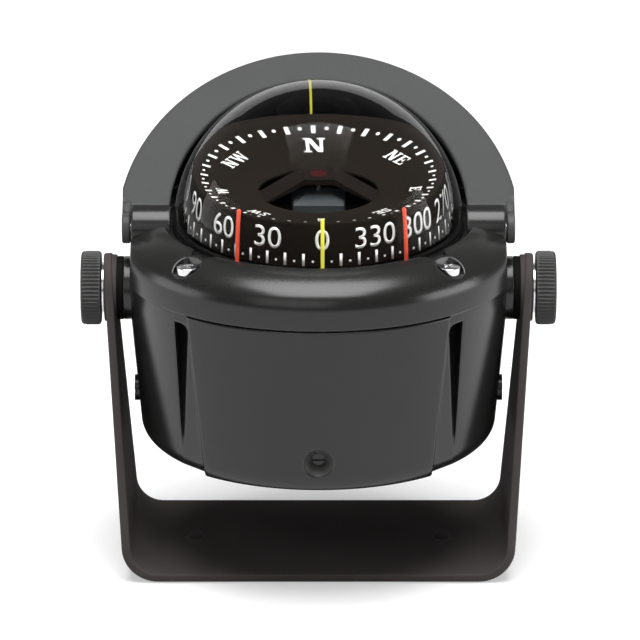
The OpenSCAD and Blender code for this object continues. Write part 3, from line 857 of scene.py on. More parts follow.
@dataclass
class ClampKnobs:
    """The two knurled knobs on their screws.

    Attributes:
        axis_z: Height of the tilt axis.
        inner_x: Inner face along X.
        radius: Radius over the knurl.
        width: Width along X.
        ridges: Number of knurl ridges.
        ridge_h: Height of a ridge.
        chamfer: Size of the rounded outer edge.
        screw_r: Radius of the clamp screw.
        dish: How far the dish's edge and floor lie inside the rim, and its depth.
    """

    axis_z: float = TILT_Z
    inner_x: float = 78.2
    radius: float = 13.3
    width: float = 7.1
    ridges: int = 60
    ridge_h: float = 0.5
    chamfer: float = 1.2
    screw_r: float = 3.0
    dish: tuple[float, float, float] = (3.6, 4.6, 0.8)

    def shape(self) -> Patch:
        """Turn the knob's section and let round-topped ridges run along its rim.

        The radius loses ridge_h * (1 - g * (1 - |sin(ridges * angle / 2)| ** 0.8)), where g falls toward
        both edges of the rim. Over the rounded outer edge the loss itself fades to nothing.

        Returns:
            The right-hand knob.
        """
        r, w = self.radius, self.width
        edge_h = w - self.chamfer
        dish_edge, dish_floor, dish_depth = self.dish
        back = np.array([(0, 0), (self.screw_r, 0), (r - self.ridge_h - 0.2, 0)])
        rim_h = np.linspace(0.15, edge_h, 9)
        rim = np.stack([np.full_like(rim_h, r), rim_h], axis=-1)
        crown = arc((r - self.chamfer, edge_h), self.chamfer, 0, 90, 9)[1:]
        floor_h = w - dish_depth
        face = open_profile(
            [(r - self.chamfer - 0.1, w), (r - dish_edge, w), (r - dish_floor, floor_h), (0, floor_h)], 0.5)
        profile = np.concatenate([back, rim, crown, face])
        sides = self.ridges * 10
        angle = np.linspace(0, TURN, sides, endpoint=False)
        wave = np.abs(np.sin(self.ridges * angle / 2)) ** 0.8
        rim_growth = np.clip(np.minimum(rim_h - 0.1, edge_h + 0.25 - rim_h) / 0.5, 0, 1)
        growth = np.concatenate([rim_growth, np.linspace(0.8, 0, len(crown))])[:, None]
        fade = np.concatenate([np.ones(len(rim)), np.linspace(1, 0, len(crown))])[:, None]
        ripple = np.zeros((len(profile), sides))
        ripple[len(back) : -len(face)] = self.ridge_h * (1 - (1 - wave) * growth) * fade
        return lathe(profile, Axis.X, (self.inner_x, 0, self.axis_z), sides, ripple=ripple)

    def build(self, shop: Workshop) -> None:
        """Make both knobs and dress their screws."""
        knob = self.shape()
        shop.piece("clamp_knob_right", knob, Look.KNOB, "knob_right", ("knob_right",), 40)
        shop.piece("clamp_knob_left", knob.mirrored(), Look.KNOB, "knob_left", ("knob_left",), 40)
        shop.dress(Look.STEEL, "knob_screw_left", "knob_screw_right")


@dataclass
class Housing:
    """The drafted tub with its proud front panel, relief grooves and front recess.

    Attributes:
        radius: Radius of the tub at the seam.
        panel_r: Radius of the front panel at the seam.
        draft: Draft of the tub in degrees.
        panel_draft: Draft of the panel in degrees.
        floor_z: Height of the underside.
        floor_round: Radius of the bottom edge.
        seam_z: Height of the seam under the bezel.
        flat_x: Distance of the flat sides.
        panel_top: Panel edge as (x, z) near its top.
        panel_low: Panel edge as (x, z) near its bottom.
        groove_z: Heights of the groove's lower end and roof.
        groove_out: X of the groove's outer wall at its lower end and roof.
        groove_in: X of its inner wall there.
        floor_out: Y of its floor at the outer wall there.
        floor_in: Y of its floor at the inner wall there.
        recess: Height and radius of the front recess.
        funnel: Y of the recess's mouth and throat, and the throat's radius.
        axis_z: Height of the tilt axis.
        roof_round: Rounding of the groove's inner wall under its roof.
        lip: Gap under the seam, and the rounding of the tub's upper edge.
        trunnion: Outer and inner radius of a trunnion boss, and its two ends along X.
        pad: The same of a friction pad.
    """

    radius: float = 69.0
    panel_r: float = 70.7
    draft: float = 5.0
    panel_draft: float = 3.7
    floor_z: float = 44.0
    floor_round: float = 7.5
    seam_z: float = SEAM_Z
    flat_x: float = 67.3
    panel_top: tuple[float, float] = (45.7, 100.0)
    panel_low: tuple[float, float] = (40.8, 52.0)
    groove_z: tuple[float, float] = (55.0, 102.0)
    groove_out: tuple[float, float] = (48.4, 50.6)
    groove_in: tuple[float, float] = (47.8, 45.7)
    floor_out: tuple[float, float] = (-42.5, -38.0)
    floor_in: tuple[float, float] = (-43.0, -44.5)
    recess: tuple[float, float] = (56.2, 5.0)
    funnel: tuple[float, float, float] = (-66.8, -62.7, 2.2)
    axis_z: float = TILT_Z
    roof_round: float = 3.2
    lip: tuple[float, float] = (0.25, 0.6)
    trunnion: tuple[float, float, float, float] = (11.4, 4.9, 64.0, 69.98)
    pad: tuple[float, float, float, float] = (11.4, 3.4, 70.02, 72.38)

    def wall_radius(self, z: Array, top_r: float, draft: float) -> Array:
        """Radius of a drafted wall that ends in a rounded bottom edge.

        Args:
            z: Heights.
            top_r: Radius at the seam.
            draft: Draft in degrees.

        Returns:
            The radius at each height.
        """
        slope = np.radians(draft)
        rounding_z = self.floor_z + self.floor_round
        middle = top_r - ((self.seam_z - rounding_z) * np.sin(slope) + self.floor_round) / np.cos(slope)
        below = np.clip(rounding_z - z, 0, self.floor_round)
        curved = middle + np.sqrt(self.floor_round**2 - below**2)
        straight = top_r - (self.seam_z - z) * np.tan(slope)
        return np.where(z < rounding_z - self.floor_round * np.sin(slope), curved, straight)

    def outline(self, z: Array, grooved: Array, inset: Array) -> Array:
        """Closed outlines of the outer wall, one per height.

        Going from the rear to the front an outline follows the tub's arc with its flat side, the groove's
        outer wall, floor and inner wall, the strip beside the panel, the panel's step and the panel's arc.

        Args:
            z: Heights, shape (rows,).
            grooved: 1 where the groove is open and 0 where the wall is whole.
            inset: How far the wall is drawn in.

        Returns:
            Points of shape (rows, cols, 3).
        """
        tub = self.wall_radius(z, self.radius, self.draft) - inset
        panel = self.wall_radius(z, self.panel_r, self.panel_draft) - inset
        along = (z - self.groove_z[0]) / (self.groove_z[1] - self.groove_z[0])
        clipped = np.clip(along, 0, 1)
        out_x, in_x, out_y, in_y = (
            low + (high - low) * clipped
            for low, high in (self.groove_out, self.groove_in, self.floor_out, self.floor_in)
        )
        near_roof = np.clip((z - self.groove_z[1] + self.roof_round) / self.roof_round, 0, 1)
        in_x = in_x + self.roof_round * (1 - np.sqrt(1 - near_roof**2)) * grooved
        lean = (self.panel_top[0] - self.panel_low[0]) / (self.panel_top[1] - self.panel_low[1])
        edge_x = self.panel_low[0] + lean * (z - self.panel_low[1])
        in_x = np.maximum(in_x, edge_x)

        def on_wall(x: Array, r: Array) -> Array:
            """Return the wall's point in front at an X."""
            return np.stack([x, -np.sqrt(np.maximum(r**2 - x**2, 0))], axis=-1)

        def sunk(x: Array, y: Array) -> Array:
            """Return a groove floor point, or the wall's where the groove is closed."""
            wall = on_wall(x, tub)
            floor = np.maximum(wall[:, 1], y)
            return np.stack([x, np.where(grooved > 0, floor, wall[:, 1])], axis=-1)

        corners = [
            on_wall(out_x, tub), sunk(out_x, out_y), sunk(in_x, in_y), on_wall(in_x, tub),
            on_wall(edge_x, tub), on_wall(edge_x, panel),
        ]
        cuts = (0.8, 1.4, 1.4, 0.8, 0.7, 1.0)
        step = 3.0
        side_step = on_wall(out_x + step, tub)
        panel_step = on_wall(edge_x - step, panel)
        legs = [side_step] + corners + [panel_step]
        parts = []
        for number, cut in enumerate(cuts):
            curve = bend(legs[number], corners[number], legs[number + 2], np.full(len(z), cut))
            if parts:
                parts.append(span(parts[-1][-1], curve[0], 4))
            parts.append(curve)
        start = np.arctan2(parts[0][0, :, 1], parts[0][0, :, 0])
        end = np.arctan2(parts[-1][-1, :, 1], parts[-1][-1, :, 0])
        rear = np.linspace(np.pi / 2, start, 130)[:-1]
        front = np.linspace(end, -np.pi / 2, 56)[1:]
        rear_arc = np.stack([tub * np.cos(rear), tub * np.sin(rear)], axis=-1)
        rear_arc[..., 0] = np.minimum(rear_arc[..., 0], self.flat_x - inset)
        front_arc = np.stack([panel * np.cos(front), panel * np.sin(front)], axis=-1)
        half = np.concatenate([rear_arc, *parts, front_arc]).transpose(1, 0, 2)
        mirror = half[:, -2:0:-1] * (-1, 1)
        loop = np.concatenate([half, mirror], axis=1)
        height = np.broadcast_to(z[:, None, None], loop.shape[:2] + (1,))
        return np.concatenate([loop, height], axis=-1)

    def tub(self) -> Patch:
        """Stack the outlines from the underside to the seam and back down inside.

        Returns:
            The closed tub with its front recess.
        """
        round_angle = np.radians(np.linspace(0, 86, 12))
        low = self.floor_z + self.floor_round * (1 - np.cos(round_angle))
        groove_low, roof = self.groove_z
        gap, lip_r = self.lip
        top = self.seam_z - gap
        arch = roof - self.roof_round
        wall = np.concatenate([
            np.linspace(low[-1], groove_low, 5)[1:-1],
            np.linspace(groove_low, arch, 44),
            np.linspace(arch, roof, 9)[1:],
        ])
        upper = np.linspace(roof, top - lip_r, 5)
        lip_angle = np.radians(np.linspace(15, 90, 5))
        lip = top - lip_r + lip_r * np.sin(lip_angle)
        z = np.concatenate([low, wall, upper, lip])
        open_wall = (wall >= groove_low).astype(float)
        grooved = np.concatenate([np.zeros(len(low)), open_wall, np.zeros(len(upper) + len(lip))])
        lip_inset = lip_r * (1 - np.cos(lip_angle))
        inset = np.concatenate([np.zeros(len(z) - len(lip)), lip_inset])
        outer = self.outline(z, grooved, inset)
        shrink = np.linspace(0, 1, 9)[:-1, None, None]
        underside = outer[0] * np.array((1, 1, 0)) * shrink + outer[0] * (0, 0, 1)
        plan = outer[-1, :, :2]
        ray = plan / np.linalg.norm(plan, axis=1, keepdims=True)
        floor_wall, side_wall, corner = 4.0, 6.5, 6.0
        inner_z = np.array([top, top - 4, 80.0, self.floor_z + floor_wall])
        inner_r = self.wall_radius(inner_z, self.radius, self.draft) - side_wall
        inner_r[-1] = inner_r[-2] - corner
        inner = np.concatenate([
            ray * inner_r[:, None, None],
            np.broadcast_to(inner_z[:, None, None], (len(inner_z), len(ray), 1)),
        ], axis=-1)
        closing = np.zeros((1, len(ray), 3))
        closing[..., 2] = inner_z[-1]
        points = np.concatenate([underside, outer, inner, closing])
        return self.recessed(points, len(underside))

    def recessed(self, points: Array, first_row: int) -> Patch:
        """Open a window in the front panel and sink the round recess into it.

        Args:
            points: The tub's grid.
            first_row: Row where the outer wall starts.

        Returns:
            The tub with the recess.
        """
        recess_z, recess_r = self.recess
        front = points.shape[1] // 2
        z = points[:, front, 2]
        wall_rows = np.arange(len(z)) >= first_row
        margin_z, margin_x, front_y = 2.4, 2.6, -60.0
        level = np.abs(z - recess_z) < recess_r + margin_z
        inside = np.flatnonzero(wall_rows & level & (points[:, front, 1] < front_y))
        rows = slice(inside[0], inside[-1] + 1)
        x, y, _ = points[inside[-1]].T
        near = np.flatnonzero((np.abs(x) < recess_r + margin_x) & (y < 0))
        cols = slice(near[0], near[-1] + 1)
        step, bore_r, bottom = 4.5, 4.82, 14.0
        profile = np.array([
            (recess_r + 0.9, 0), (recess_r + 0.5, 0.06), (recess_r + 0.15, 0.3), (recess_r, 0.8),
            (recess_r, 4.3), (recess_r - 0.15, step), (bore_r, step), (bore_r, bottom), (0, bottom),
        ])

        def sink(x: Array, z: Array, depth: Array) -> Array:
            """Return Y on the panel, moved in by a depth."""
            panel = self.wall_radius(z, self.panel_r, self.panel_draft)
            return -np.sqrt(panel**2 - x**2) + depth

        rim = window_rim(points, rows, cols)
        dish = pocket(rim, (0, recess_z), profile, (0, 2, 1), sink)
        return join(grid(points, close_cols=True, windows=[(rows, cols)]), dish)

    def build(self, shop: Workshop) -> None:
        """Make the tub, trunnions, recess funnel and friction pads, and dress the solids that stay."""
        shop.piece("housing_tub", self.tub(), Look.CASE, "housing", ("housing",), 40)
        axis = {"axis": Axis.X, "centre": (0, 0, self.axis_z)}
        trunnion = ring(*self.trunnion, 0.4, **axis)
        shop.piece("trunnion_bosses", join(trunnion, trunnion.mirrored()), Look.CASE, "housing")
        middle, recess_r = self.recess
        mouth_y, throat_y, throat_r = self.funnel
        mouth_r = recess_r - 0.03
        funnel = [(mouth_r, mouth_y), (throat_r, throat_y), (mouth_r, throat_y)]
        cone = lathe(rounded(funnel, 0.15), Axis.Y, (0, 0, middle), closed=True)
        # The funnel is painted lighter than the case, as painted light on the recess's lower wall
        shop.piece("recess_funnel", cone, Look.RECESS, "housing")
        pad = ring(*self.pad, 0.5, **axis)
        pads = join(pad, pad.mirrored())
        shop.piece("tilt_friction_pads", pads, Look.RUBBER, "housing", ("friction_pads",))
        shop.dress(Look.BRASS, "trunnion_inserts", "cross_rod", "fore_aft_rod")
        shop.dress(Look.STEEL, "cross_rod_magnets", "fore_aft_magnet")
        shop.dress(Look.CASE, "rod_bearing", "cross_rod_caps", "fore_aft_cap", "cable_gland")


@dataclass
class PanScrew:
    """A pan-head screw with a cross pressed into its head.

    Attributes:
        shank: Radius and length of the shank.
        head: Radius of the head and height of its side.
        crown: Radius of the domed top, its rise and the radius where the dome would end.
        bar: Half width and half length of a bar of the cross.
        bar_edge: Widths over which a bar's depth falls off at its sides and ends.
        bar_depth: Depth of the cross.
    """

    shank: tuple[float, float] = (1.75, 14.0)
    head: tuple[float, float] = (3.7, 2.2)
    crown: tuple[float, float, float] = (3.5, 0.75, 3.9)
    bar: tuple[float, float] = (0.62, 2.3)
    bar_edge: tuple[float, float] = (0.22, 0.4)
    bar_depth: float = 1.0

    def cross(self, across: Array, along: Array) -> Array:
        """Return the share of the full depth that one bar of the cross has at each point."""
        half, edge = self.bar, self.bar_edge
        sides = np.clip((half[0] - np.abs(across)) / edge[0], 0, 1)
        return sides * np.clip((half[1] - np.abs(along)) / edge[1], 0, 1)

    def shape(self) -> Patch:
        """Turn a low domed head and press a cross into it.

        The cross is two bars; each bar's depth falls off evenly at its sides and ends.

        Returns:
            One head with its shank, at the origin.
        """
        shank_r, length = self.shank
        head_r, head_h = self.head
        crown_r, rise, end_r = self.crown
        dome = np.linspace(crown_r, 0, 40)
        top = head_h + rise * np.sqrt(1 - (dome / end_r) ** 2)
        side = np.array([
            (0, -length), (shank_r, -length), (shank_r, 0), (head_r - 0.15, 0), (head_r, 0.15),
            (head_r, head_h), (head_r - 0.04, head_h + 0.22),
        ])
        patch = lathe(np.concatenate([side, np.stack([dome, top], axis=-1)]), sides=96)
        x, y, z = patch.points.T
        depth = self.bar_depth * np.maximum(self.cross(x, y), self.cross(y, x))
        patch.points[:, 2] = np.where(z > head_h + 0.1, z - depth, z)
        return patch


@dataclass
class Bezel:
    """The top ring with its rounded shoulder, hood knuckles and screws.

    Attributes:
        radius: Radius of the skirt.
        shoulder_r: Radius of the shoulder.
        slope: Mean slope of the top face in degrees.
        crown: Slope where the slightly domed face runs into the shoulder.
        opening_r: Radius of the opening.
        opening_z: Height of the opening's edge.
        seam_z: Height of the seam.
        flat_x: Distance of the flat sides.
        lip_z: Underside of the lip over the dome's flange.
        pivot_z: Height of the hood pivot.
        knuckle_r: Radius of a knuckle.
        knuckle_in: Inner end of a knuckle along X.
        screw: Place of a screw as (x, y).
        pocket_r: Radius of a screw pocket.
        pocket_z: Floor of a screw pocket.
        sides: Points round the ring.
        skirt: Thickness of the skirt.
        rebate: Radius and lower height of the rebate that takes the capsule's flange.
        seam_gap: Gap over the seam.
        window: Inner and outer radius and lowest height of the field that a screw pocket is set in.
        window_half: Half of that field's width in degrees.
        seal_r: Inner and outer radius of the rear seal strip.
        seal_z: Its lower and upper height.
        seal_half: How far it runs to each side of dead astern in degrees.
        screw_turns: Turn of each screw's cross in degrees.
    """

    radius: float = 70.87
    shoulder_r: float = 9.0
    slope: float = 20.0
    crown: float = 36.0
    opening_r: float = 55.4
    opening_z: float = 124.6
    seam_z: float = SEAM_Z
    flat_x: float = 67.1
    lip_z: float = 122.2
    pivot_z: float = HOOD_Z
    knuckle_r: float = 8.4
    knuckle_in: float = 53.0
    screw: tuple[float, float] = (46.0, 44.5)
    pocket_r: float = 5.0
    pocket_z: float = 119.0
    sides: int = 288
    skirt: float = 5.5
    rebate: tuple[float, float] = (60.6, 113.5)
    seam_gap: float = 0.25
    window: tuple[float, float, float] = (57.2, 70.3, 114.0)
    window_half: float = 6.4
    seal_r: tuple[float, float] = (67.0, 68.5)
    seal_z: tuple[float, float] = (117.2, 122.6)
    seal_half: float = 58.0
    screw_turns: tuple[float, float, float, float] = (20.0, 65.0, 50.0, 5.0)

    @property
    def shoulder_centre(self) -> tuple[float, float]:
        """Radius and height of the shoulder circle's middle."""
        slope = np.radians(self.slope)
        middle_r = self.radius - self.shoulder_r
        start_r = middle_r + self.shoulder_r * np.sin(slope)
        start_z = self.opening_z - (start_r - self.opening_r) * np.tan(slope)
        return middle_r, start_z - self.shoulder_r * np.cos(slope)

    def top(self, radius: Array) -> Array:
        """Height of the top face and shoulder at a radius.

        The face is a parabola from the opening's edge that meets the shoulder circle at the crown's slope.

        Args:
            radius: Distances from the middle.

        Returns:
            The height at each radius.
        """
        middle_r, middle_z = self.shoulder_centre
        crown = np.radians(self.crown)
        width = middle_r + self.shoulder_r * np.sin(crown) - self.opening_r
        drop = self.opening_z - middle_z - self.shoulder_r * np.cos(crown)
        end_fall = width * np.tan(crown)
        share = (radius - self.opening_r) / width
        face = self.opening_z - (2 * drop - end_fall) * share - (end_fall - drop) * share**2
        over = np.clip(radius - middle_r, 0, self.shoulder_r)
        shoulder = middle_z + np.sqrt(self.shoulder_r**2 - over**2)
        return np.where(over > self.shoulder_r * np.sin(crown), shoulder, face)

    def ring_surface(self) -> Patch:
        """Carry the bezel's section round, flatten its sides and sink the screw pockets.

        Returns:
            The closed ring.
        """
        middle = self.shoulder_centre
        rebate_r, rebate_z = self.rebate
        low_z = self.seam_z + self.seam_gap
        skirt_r = self.radius - self.skirt
        skirt = [(skirt_r, low_z), (self.radius, low_z), (self.radius, middle[1])]
        shoulder = arc(middle, self.shoulder_r, 0, 90 - self.crown, 30)
        face_r = np.linspace(shoulder[-1, 0], self.opening_r + 1.0, 9)[1:]
        face = np.stack([face_r, self.top(face_r)], axis=-1)
        inner = [
            tuple(face[-1]), (self.opening_r, self.opening_z), (self.opening_r, self.lip_z),
            (rebate_r, self.lip_z), (rebate_r, rebate_z), (skirt_r, rebate_z), (skirt_r, low_z),
        ]
        inner_cuts = [0, 1.0, 0.3, 0.2, 0.2, 0.2, 0]
        profile = np.concatenate([
            rounded(skirt, [0, 0.6, 0])[5:-5], shoulder, face[:-1], rounded(inner, inner_cuts)[4:-1],
        ])
        angle = np.linspace(0, TURN, self.sides, endpoint=False)
        radius = profile[:, :1]
        x = np.clip(radius * np.cos(angle), -self.flat_x, self.flat_x)
        y = radius * np.sin(angle)
        points = np.stack([x, y, np.broadcast_to(profile[:, 1:], x.shape)], axis=-1)
        near_r, far_r, low = self.window
        reach, height = profile.T
        inside = np.flatnonzero((reach > near_r) & (reach < far_r) & (height > low))
        rows = slice(inside[0], inside[-1] + 1)
        screw_angle = np.arctan2(self.screw[1], self.screw[0])
        step = TURN / self.sides
        half = np.radians((-self.window_half, self.window_half))
        windows, dishes = [], []
        for bearing in (screw_angle, np.pi - screw_angle, np.pi + screw_angle, TURN - screw_angle):
            first, last = np.round((bearing + half) / step).astype(int)
            cols = slice(first, last + 1)
            windows.append((rows, cols))
            dishes.append(self.screw_pocket(window_rim(points, rows, cols), bearing))
        return join(grid(points, True, True, windows), *dishes)

    def screw_pocket(self, rim: Array, bearing: float) -> Patch:
        """Sink one screw pocket inside a window of the ring.

        Args:
            rim: The window's border.
            bearing: Angle of the screw about Z.

        Returns:
            The pocket.
        """
        reach = np.hypot(*self.screw)
        r, floor = self.pocket_r, 20.0
        profile = np.array([
            (r + 0.7, 0), (r + 0.35, 0.06), (r + 0.1, 0.3), (r, 0.7), (r, floor), (2.0, floor), (0, floor),
        ])

        def sink(x: Array, y: Array, depth: Array) -> Array:
            """Return Z on the ring's top, lowered by a depth but not below the pocket's floor."""
            top = self.top(np.hypot(x, y))
            return np.maximum(top - depth, np.minimum(top, self.pocket_z))

        return pocket(rim, (reach * np.cos(bearing), reach * np.sin(bearing)), profile, (0, 1, 2), sink)

    def knuckle(self) -> Patch:
        """Return the right-hand knuckle that the hood turns on."""
        r, start, end = self.knuckle_r, self.knuckle_in, self.flat_x
        profile = open_profile([(0, start), (r, start), (r, end), (0, end)], 0.9, 7)
        return lathe(profile, Axis.X, (0, 0, self.pivot_z), 96)

    def rear_seal(self) -> Patch:
        """Return the low rubber strip on the rear shoulder that closes the slit under the hood.

        Its section is a rectangle, carried round the rear of the ring and closed at both ends.

        Returns:
            The strip.
        """
        near_r, far_r = self.seal_r
        low, high = self.seal_z
        radius = np.array([near_r, far_r, far_r, near_r])[:, None]
        height = np.array([low, low, high, high])[:, None]
        angle = np.radians(np.linspace(90 - self.seal_half, 90 + self.seal_half, 100))
        x, y = radius * np.cos(angle), radius * np.sin(angle)
        return capped(np.stack([x, y, np.broadcast_to(height, x.shape)], axis=-1))

    def build(self, shop: Workshop) -> None:
        """Make the ring, seal strip, knuckles and screws."""
        shop.piece("bezel_ring", self.ring_surface(), Look.CASE, "housing", ("bezel",), 40)
        shop.piece("hood_seal_strip", self.rear_seal(), Look.RUBBER, "housing")
        knuckle = self.knuckle()
        shop.piece("hood_knuckles", join(knuckle, knuckle.mirrored()), Look.CASE, "housing")
        screw = PanScrew().shape()
        places = [(sx * self.screw[0], sy * self.screw[1], self.pocket_z) for sx in (-1, 1) for sy in (-1, 1)]
        screws = [screw.moved(turn_z(turn), place) for turn, place in zip(self.screw_turns, places)]
        shop.piece("bezel_pan_screws", join(*screws), Look.STEEL, "housing", ("bezel_screws",), 30)


@dataclass
class Hood:
    """The swinging half-dome shade.

    Attributes:
        radius: Outer radius about the pivot.
        wall: Thickness of the shell and the front rim.
        lean: Backward lean of the face in degrees.
        pivot_z: Height of the pivot.
        window_r: Radius of the arched window.
        window_rise: Height of the window's centre over the pivot.
        end_r: Clear radius round the knuckles.
        trim: Height of the shell's lower edge over the pivot, outside and inside.
        sweep: Largest sweep of the shell in degrees.
        ear_x: Inner and outer face of the ears, which is also where the shell's sides are flat.
        ear_r: Radius of an ear round its pin.
    """

    radius: float = 72.4
    wall: float = 3.0
    lean: float = 45.0
    pivot_z: float = HOOD_Z
    window_r: float = 53.5
    window_rise: float = 6.6
    end_r: float = 8.85
    trim: tuple[float, float] = (-1.15, 0.3)
    sweep: float = 47.6
    ear_x: tuple[float, float] = (67.4, 70.5)
    ear_r: float = 5.5

    @property
    def arch_share(self) -> float:
        """Angle along the window's arch for each unit of the shell's latitude."""
        arch_end = np.arccos((self.end_r + 0.15 - self.window_rise) / self.window_r)
        return arch_end / np.arccos(self.end_r / (self.radius - self.wall))

    def on_ball(self, radius: float, u: Array, v: Array) -> Array:
        """Return points of a ball about the pivot at latitudes v and angles u from upright."""
        parts = np.broadcast_arrays(np.sin(v), np.cos(v) * np.sin(u), np.cos(v) * np.cos(u))
        return radius * np.stack(parts, axis=-1)

    def arch(self, radius: float, y: float, v: Array) -> Array:
        """Return points of an arch round the window's centre, at a depth and at the shell's latitudes."""
        w = v * self.arch_share
        rise = self.window_rise + radius * np.cos(w)
        return np.stack([radius * np.sin(w), np.full_like(w, y), rise], axis=-1)

    def lower_edge(self, radius: float, height: float, v: Array) -> Array:
        """Return the angle about the pivot where a ball ends, at a height or at the largest sweep."""
        level = np.arccos(np.clip(height / (radius * np.cos(v)), -1, 1))
        return np.minimum(np.radians(self.sweep), level - np.radians(self.lean))

    def shell(self) -> Patch:
        """Carry the hood's closed section from one knuckle over the top to the other.

        A column at latitude v has its outer points at R (sin v, cos v sin u, cos v cos u), with u the angle
        about the pivot from upright to the lower edge, and the inner shell likewise at R less the wall. The
        flat front rim joins the outer shell's start to the arched window.

        Returns:
            The closed shell in the upright position.
        """
        outer, inner = self.radius, self.radius - self.wall
        v_end = np.arccos(self.end_r / inner)
        v = np.linspace(-v_end, v_end, 141)
        outer_end = self.lower_edge(outer, self.trim[0], v)
        inner_end = self.lower_edge(inner, self.trim[1], v)
        start_in = np.arcsin(self.wall / (inner * np.cos(v)))
        front, back = (self.arch(self.window_r, y, v) for y in (0.0, self.wall))
        rim = self.on_ball(outer, 0 * v, v)
        nook = self.on_ball(inner, start_in, v)
        outer_lip, inner_lip = self.on_ball(outer, outer_end, v), self.on_ball(inner, inner_end, v)
        nearby = 0.05
        over_outer = self.on_ball(outer, outer_end - nearby, v)
        over_inner = self.on_ball(inner, inner_end - nearby, v)
        cut = np.full(len(v), 0.7)
        steps = np.linspace(0, 1, 46)[:, None]
        short = 0.014 / np.cos(v)
        outer_u = 0.012 / np.cos(v) * (1 - steps) + (outer_end - short) * steps
        inner_u = (inner_end - short) * (1 - steps) + (start_in + 0.02) * steps
        window_front = bend(back, front, rim, 1.3 * cut)
        rim_edge = bend(front, rim, self.on_ball(outer, nearby / np.cos(v), v), cut)
        nook_curve = bend(self.on_ball(inner, start_in + nearby, v), nook, back, cut)
        window_back = bend(nook, back, front, cut)
        section = np.concatenate([
            window_front,
            span(window_front[-1], rim_edge[0], 10),
            rim_edge,
            self.on_ball(outer, outer_u, v),
            bend(over_outer, outer_lip, inner_lip, cut),
            bend(outer_lip, inner_lip, over_inner, cut),
            self.on_ball(inner, inner_u, v),
            nook_curve,
            span(nook_curve[-1], window_back[0], 10),
            window_back,
        ])
        section[..., 0] = np.clip(section[..., 0], -self.ear_x[1], self.ear_x[1])
        return capped(section)

    def ear(self) -> Patch:
        """Return the right-hand ear, a rounded tab from the pivot pin up into the shell.

        Its outline is a circle about the pin that swells toward the shell.

        Returns:
            The ear in the upright position.
        """
        angle = np.linspace(0, TURN, 96, endpoint=False)
        off = np.abs((angle - np.radians(self.sweep / 2) + np.pi) % TURN - np.pi)
        swell = np.clip((np.radians(52) - off) / np.radians(32), 0, 1)
        reach = self.ear_r + 6.0 * swell**2 * (3 - 2 * swell)
        inner_x, outer_x = self.ear_x
        rounding, bore = 0.5, 2.25
        face = bore + (reach - rounding - bore) * np.linspace(0, 1, 5)[:, None]
        radius = np.concatenate([face, reach[None], reach[None], face[::-1]])
        levels = [inner_x, inner_x + rounding, outer_x - rounding, outer_x - 0.05]
        x = np.repeat(levels, (len(face), 1, 1, len(face)))
        x = np.broadcast_to(x[:, None], radius.shape)
        return grid(np.stack([x, radius * np.sin(angle), radius * np.cos(angle)], axis=-1), True, True)

    def lining(self) -> Patch:
        """Return a near-black film inside the hood, painted shade that keeps the hood's inside dark, a closed
        film.

        The film runs along the back of the rim, from the window to the inner ball, and on to the lower edge.

        Returns:
            The film in the upright position.
        """
        film, gap, margin = 0.12, 0.02, 0.03
        v = np.linspace(-1.3, 1.3, 121)
        steps = np.linspace(0, 1, 40)[:, None]

        def layer(depth: float) -> Array:
            """Return the film's points at a depth from the hood's inner face."""
            ball, y = self.radius - self.wall - depth, self.wall + depth
            start = np.arcsin(y / (ball * np.cos(v)))
            end = self.lower_edge(ball, self.trim[1], v) - margin
            shell = self.on_ball(ball, start + (end - start) * steps, v)
            return np.concatenate([span(self.arch(self.window_r + 1.0, y, v), shell[0], 8), shell])

        return capped(np.concatenate([layer(gap), layer(gap + film)[::-1]]))

    def build(self, shop: Workshop) -> None:
        """Make the hood and its near-black film of painted shade, and dress its pins."""
        ear = self.ear()
        place = (turn_x(-self.lean), (0, 0, self.pivot_z))
        whole = join(self.shell(), ear, ear.mirrored()).moved(*place)
        shop.piece("sun_hood", whole, Look.HOOD, "hood", ("hood",), 40)
        shop.piece("hood_lining", self.lining().moved(*place), Look.LINING, "hood")
        shop.dress(Look.STEEL, "hood_pins")


